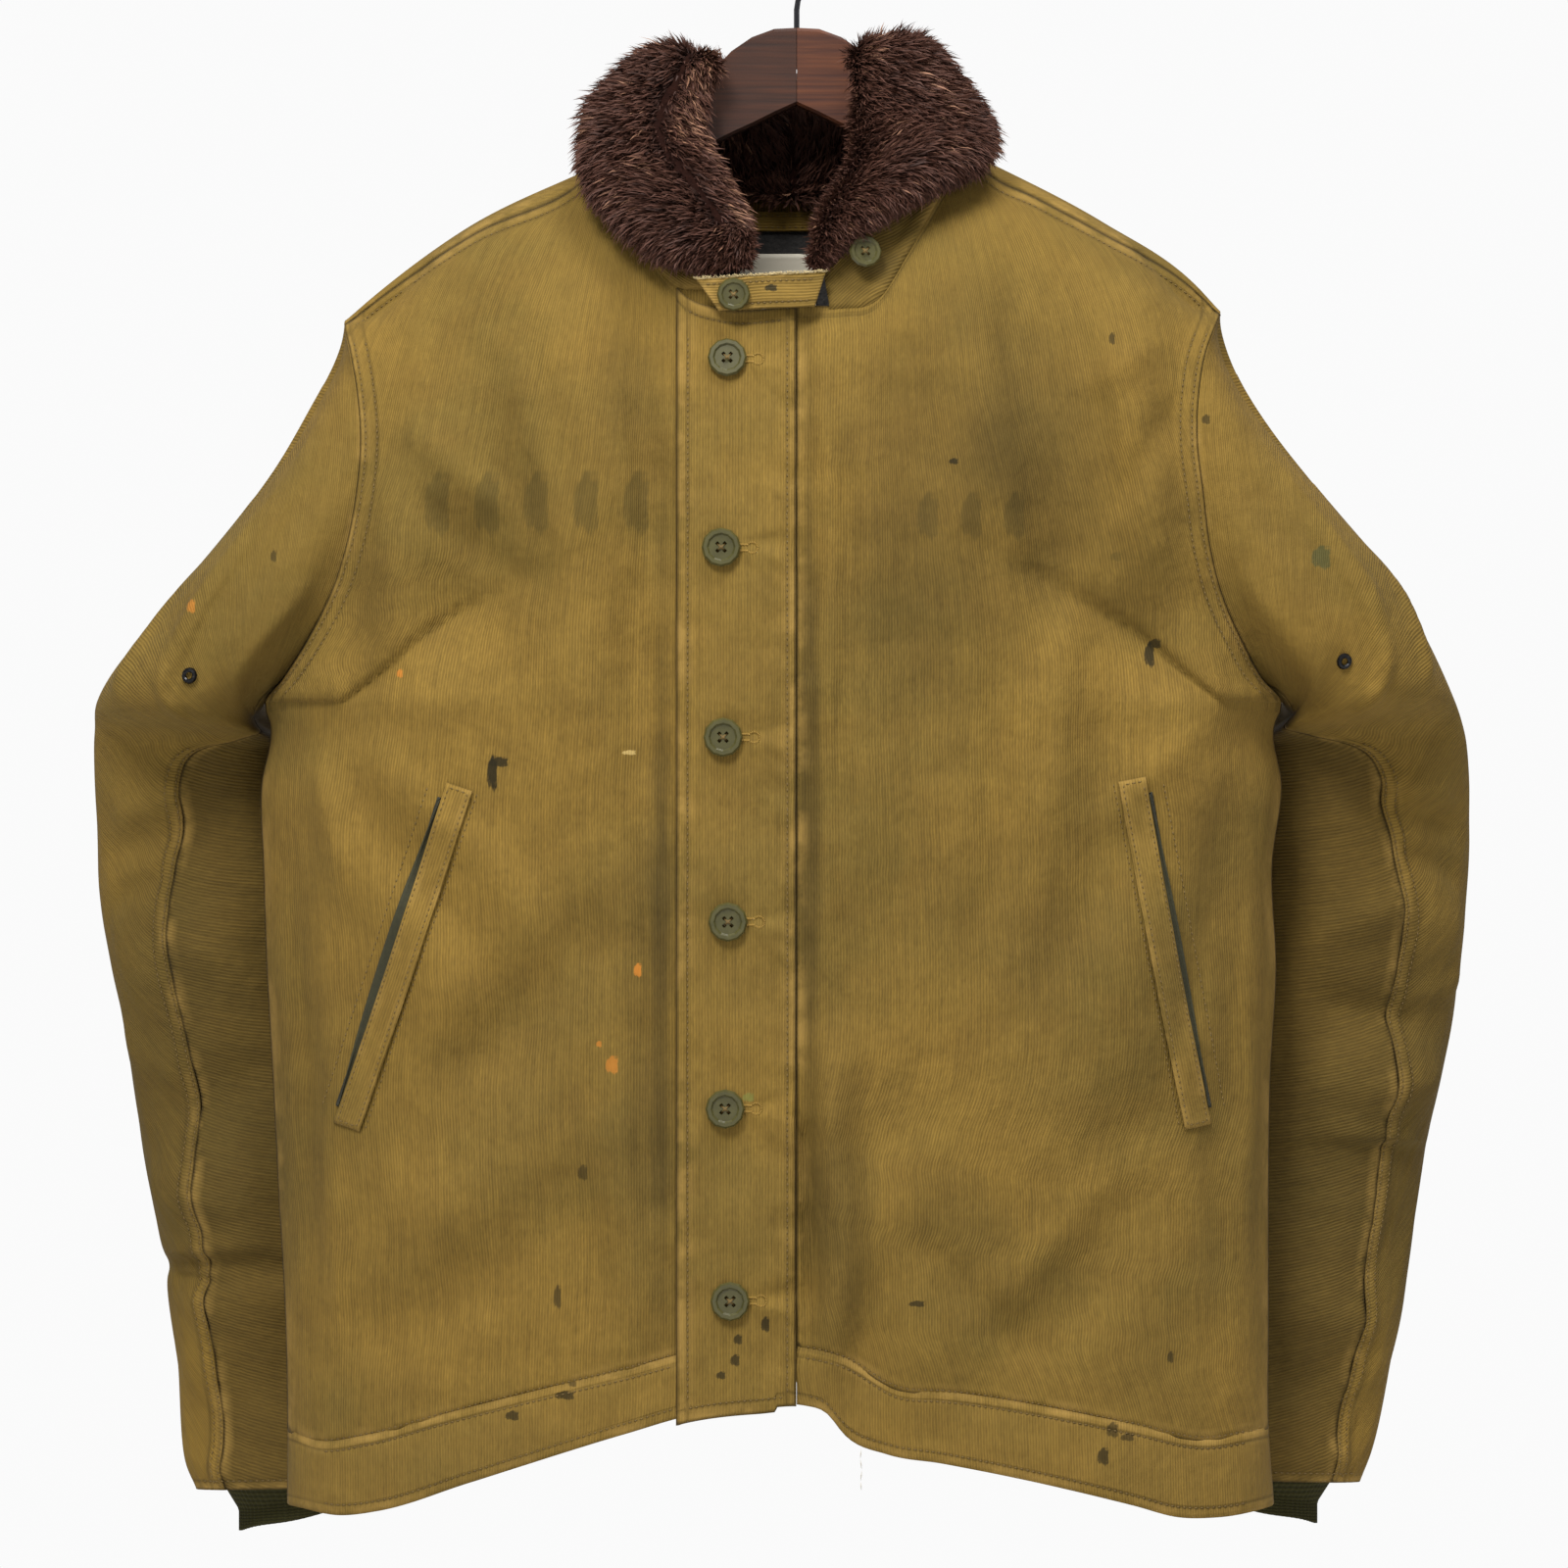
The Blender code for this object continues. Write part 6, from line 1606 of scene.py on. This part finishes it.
# Along the neck seam, on the collar's side and on the fronts.
starts, ends = [], []
for column in (13, 9):
    line = collar_grid[:, column]
    run = lengths(line[:, None], 0)[:, 0]
    for s in np.arange(4, run[-1] - 4, PITCH):
        pair = [np.array([np.interp(at, run, line[:, k]) for k in range(3)]) for at in (s, s + 2.3)]
        lift = np.array((0, -0.5, 0)) if pair[0][1] < 0 else np.array((0, 0.5, 0))
        starts.append(pair[0] + lift)
        ends.append(pair[1] + lift)
threads("stitches_neck", starts, ends, 0.34, sewing)
# One loose grey yarn hangs from the hem, another loops out of the tape.
strand = np.array([(34.5, -96, 757), (34.0, -96.5, 762), (34.8, -96, 768), (34.2, -95.5, 774),
                   (34.6, -95, 779)])
loop = np.array([(12, 48, 106), (6, 46, 109), (4, 45, 113), (8, 45, 117), (13, 46, 115), (14, 47, 110)])
pale_yarn = speckled("loose_grey_yarn", 0.8, 900.0, "#8A8478", "#C9C2B4")
starts, ends = np.concatenate([strand[:-1], loop[:-1]]), np.concatenate([strand[1:], loop[1:]])
threads("loose_yarns", starts, ends, 0.3, pale_yarn)


# Buttonholes: keyhole ends worked in heavy gold thread, one under each placket button. Only the end
# beyond the button shows.
gold_thread = speckled("buttonhole_twist_gold", 0.6, 900.0, "#6E5418", "#947428")
starts, ends = [], []
for bx, bd in zip(BUTTONS.columns["x"], BUTTONS.columns["drop"]):
    path = [(bx + 7 + 0.55 * k, bd + 0.9) for k in range(14)]
    path += [(bx + 16.4 + 2.1 * math.cos(a), bd + 2.1 * math.sin(a)) for a in np.linspace(2.2, -2.2, 16)]
    path += [(bx + 14.2 - 0.55 * k, bd - 0.9) for k in range(14)]
    path = np.array(path)
    ahead = np.gradient(path, axis=0)
    side_by = np.stack([ahead[:, 1], -ahead[:, 0]], axis=-1)
    side_by /= np.linalg.norm(side_by, axis=1, keepdims=True)
    middle = np.array((bx + 14, bd))
    for p, s in zip(path, side_by):
        if np.dot(p + s - middle, p + s - middle) < np.dot(p - s - middle, p - s - middle):
            s = -s
        near = seen(["placket_cloth"], *(p - s * 0.2), 0.25)
        far = seen(["placket_cloth"], *(p + s * 1.7), 0.2)
        if near is not None and far is not None:
            starts.append(near)
            ends.append(far)
threads("buttonhole_thread", starts, ends, 0.34, gold_thread)


# Buttons and eyelets: dull green moulded buttons sewn on with a cross of olive thread, and black
# enamelled vent eyelets. Their solids have the right shape and only take a finish.
moulded, tree, shader = finish_named("moulded_button_green", 0.34, Specular_IOR_Level=0.35,
                                     Coat_Weight=0.12, Coat_Roughness=0.2)
place = node(tree, "TexCoord").outputs["Object"]
cloudy = noise(tree, place, 160.0, 4.0, 0.6)
tone = blend(tree, cloudy, "#2C2A10", "#4A4624")
tree.links.new(tone, shader.inputs["Base Color"])
embossed(tree, shader, cloudy, 0.15, 0.0004)
for name in [*("button_%d" % k for k in range(1, 7)), "button_tab", "button_collar"]:
    assign(name, moulded)
enamel, tree, shader = finish_named("black_enamel_brass", 0.28, Metallic=0.6)
chips = noise(tree, node(tree, "TexCoord").outputs["Object"], 900.0, 3.0)
worn = ramp(tree, chips, 0.62, 0.7, end=0.5)
tone = blend(tree, worn, "#0C0C0E", "#4A4236")
tree.links.new(tone, shader.inputs["Base Color"])
assign("eyelet_left", enamel)
assign("eyelet_right", enamel)
starts, ends = [], []
for k in range(1, 9):
    name = {7: "button_tab", 8: "button_collar"}.get(k, "button_%d" % k)
    low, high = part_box(name)
    centre = (low + high) / 2
    for dx, dz in ((1.9, 1.9), (1.9, -1.9)):
        for shift in (-0.35, 0.35):
            front_y = low.y * 1000 + 1.0
            x, drop = centre.x * 1000 - SEAM_X, -centre.z * 1000 - CREST_DROP
            starts.append((x - dx + shift, front_y, drop + dz))
            ends.append((x + dx + shift, front_y, drop - dz))
threads("button_thread", starts, ends, 0.42, sewing)


# Studio: a plain pale floor well below the hem, an even pale surround, a broad soft light above and
# in front, and the camera square on to the jacket.
floor_mesh = bpy.data.meshes.new("studio_floor")
floor_mesh.from_pydata([(-3, -3, -1.3), (3, -3, -1.3), (3, 3, -1.3), (-3, 3, -1.3)], [], [(0, 1, 2, 3)])
pale = speckled("pale_floor", 0.7, 3.0, "#E4E3E0", "#EDECEA")
floor_mesh.materials.append(pale)
floor = bpy.data.objects.new("studio_floor", floor_mesh)
bpy.context.scene.collection.objects.link(floor)
world = bpy.data.worlds.new("studio")
world.use_nodes = True
# White all round at eye level, greyer above and below, so that the lamps shape the folds.
sky = world.node_tree
level = node(sky, "SeparateXYZ", {0: node(sky, "TexCoord").outputs["Generated"]})
height = node(sky, "Math", {0: level.outputs["Z"]}, operation="ABSOLUTE")
share = ramp(sky, height.outputs[0], 0.10, 0.30)
tone = blend(sky, share, (0.96, 0.96, 0.96, 1), (0.42, 0.42, 0.43, 1))
sky.links.new(tone, sky.nodes["Background"].inputs["Color"])
bpy.context.scene.world = world
bpy.context.scene.view_settings.view_transform = "Standard"
for name, place, aim, size, power in (
    ("key", (-0.9, -2.4, 2.2), (0, 0, -0.45), 1.1, 165.0),
    ("top", (0.5, -0.9, 1.9), (0, 0, -0.4), 0.9, 62.0),
):
    lamp = bpy.data.lights.new(name, "AREA")
    lamp.energy, lamp.size = power, size
    lit = bpy.data.objects.new(name, lamp)
    lit.location = place
    lit.rotation_euler = (Vector(aim) - Vector(place)).to_track_quat("-Z", "Y").to_euler()
    bpy.context.scene.collection.objects.link(lit)
camera_data = bpy.data.cameras.new("camera")
camera = bpy.data.objects.new("camera", camera_data)
camera.location = (-0.0078, -6.0, -0.4676)
camera.rotation_euler = (math.radians(90), 0, 0)
camera_data.sensor_width = 36
camera_data.lens = 36 * 5.93 / 0.832
camera_data.clip_end = 60
bpy.context.scene.collection.objects.link(camera)
bpy.context.scene.camera = camera
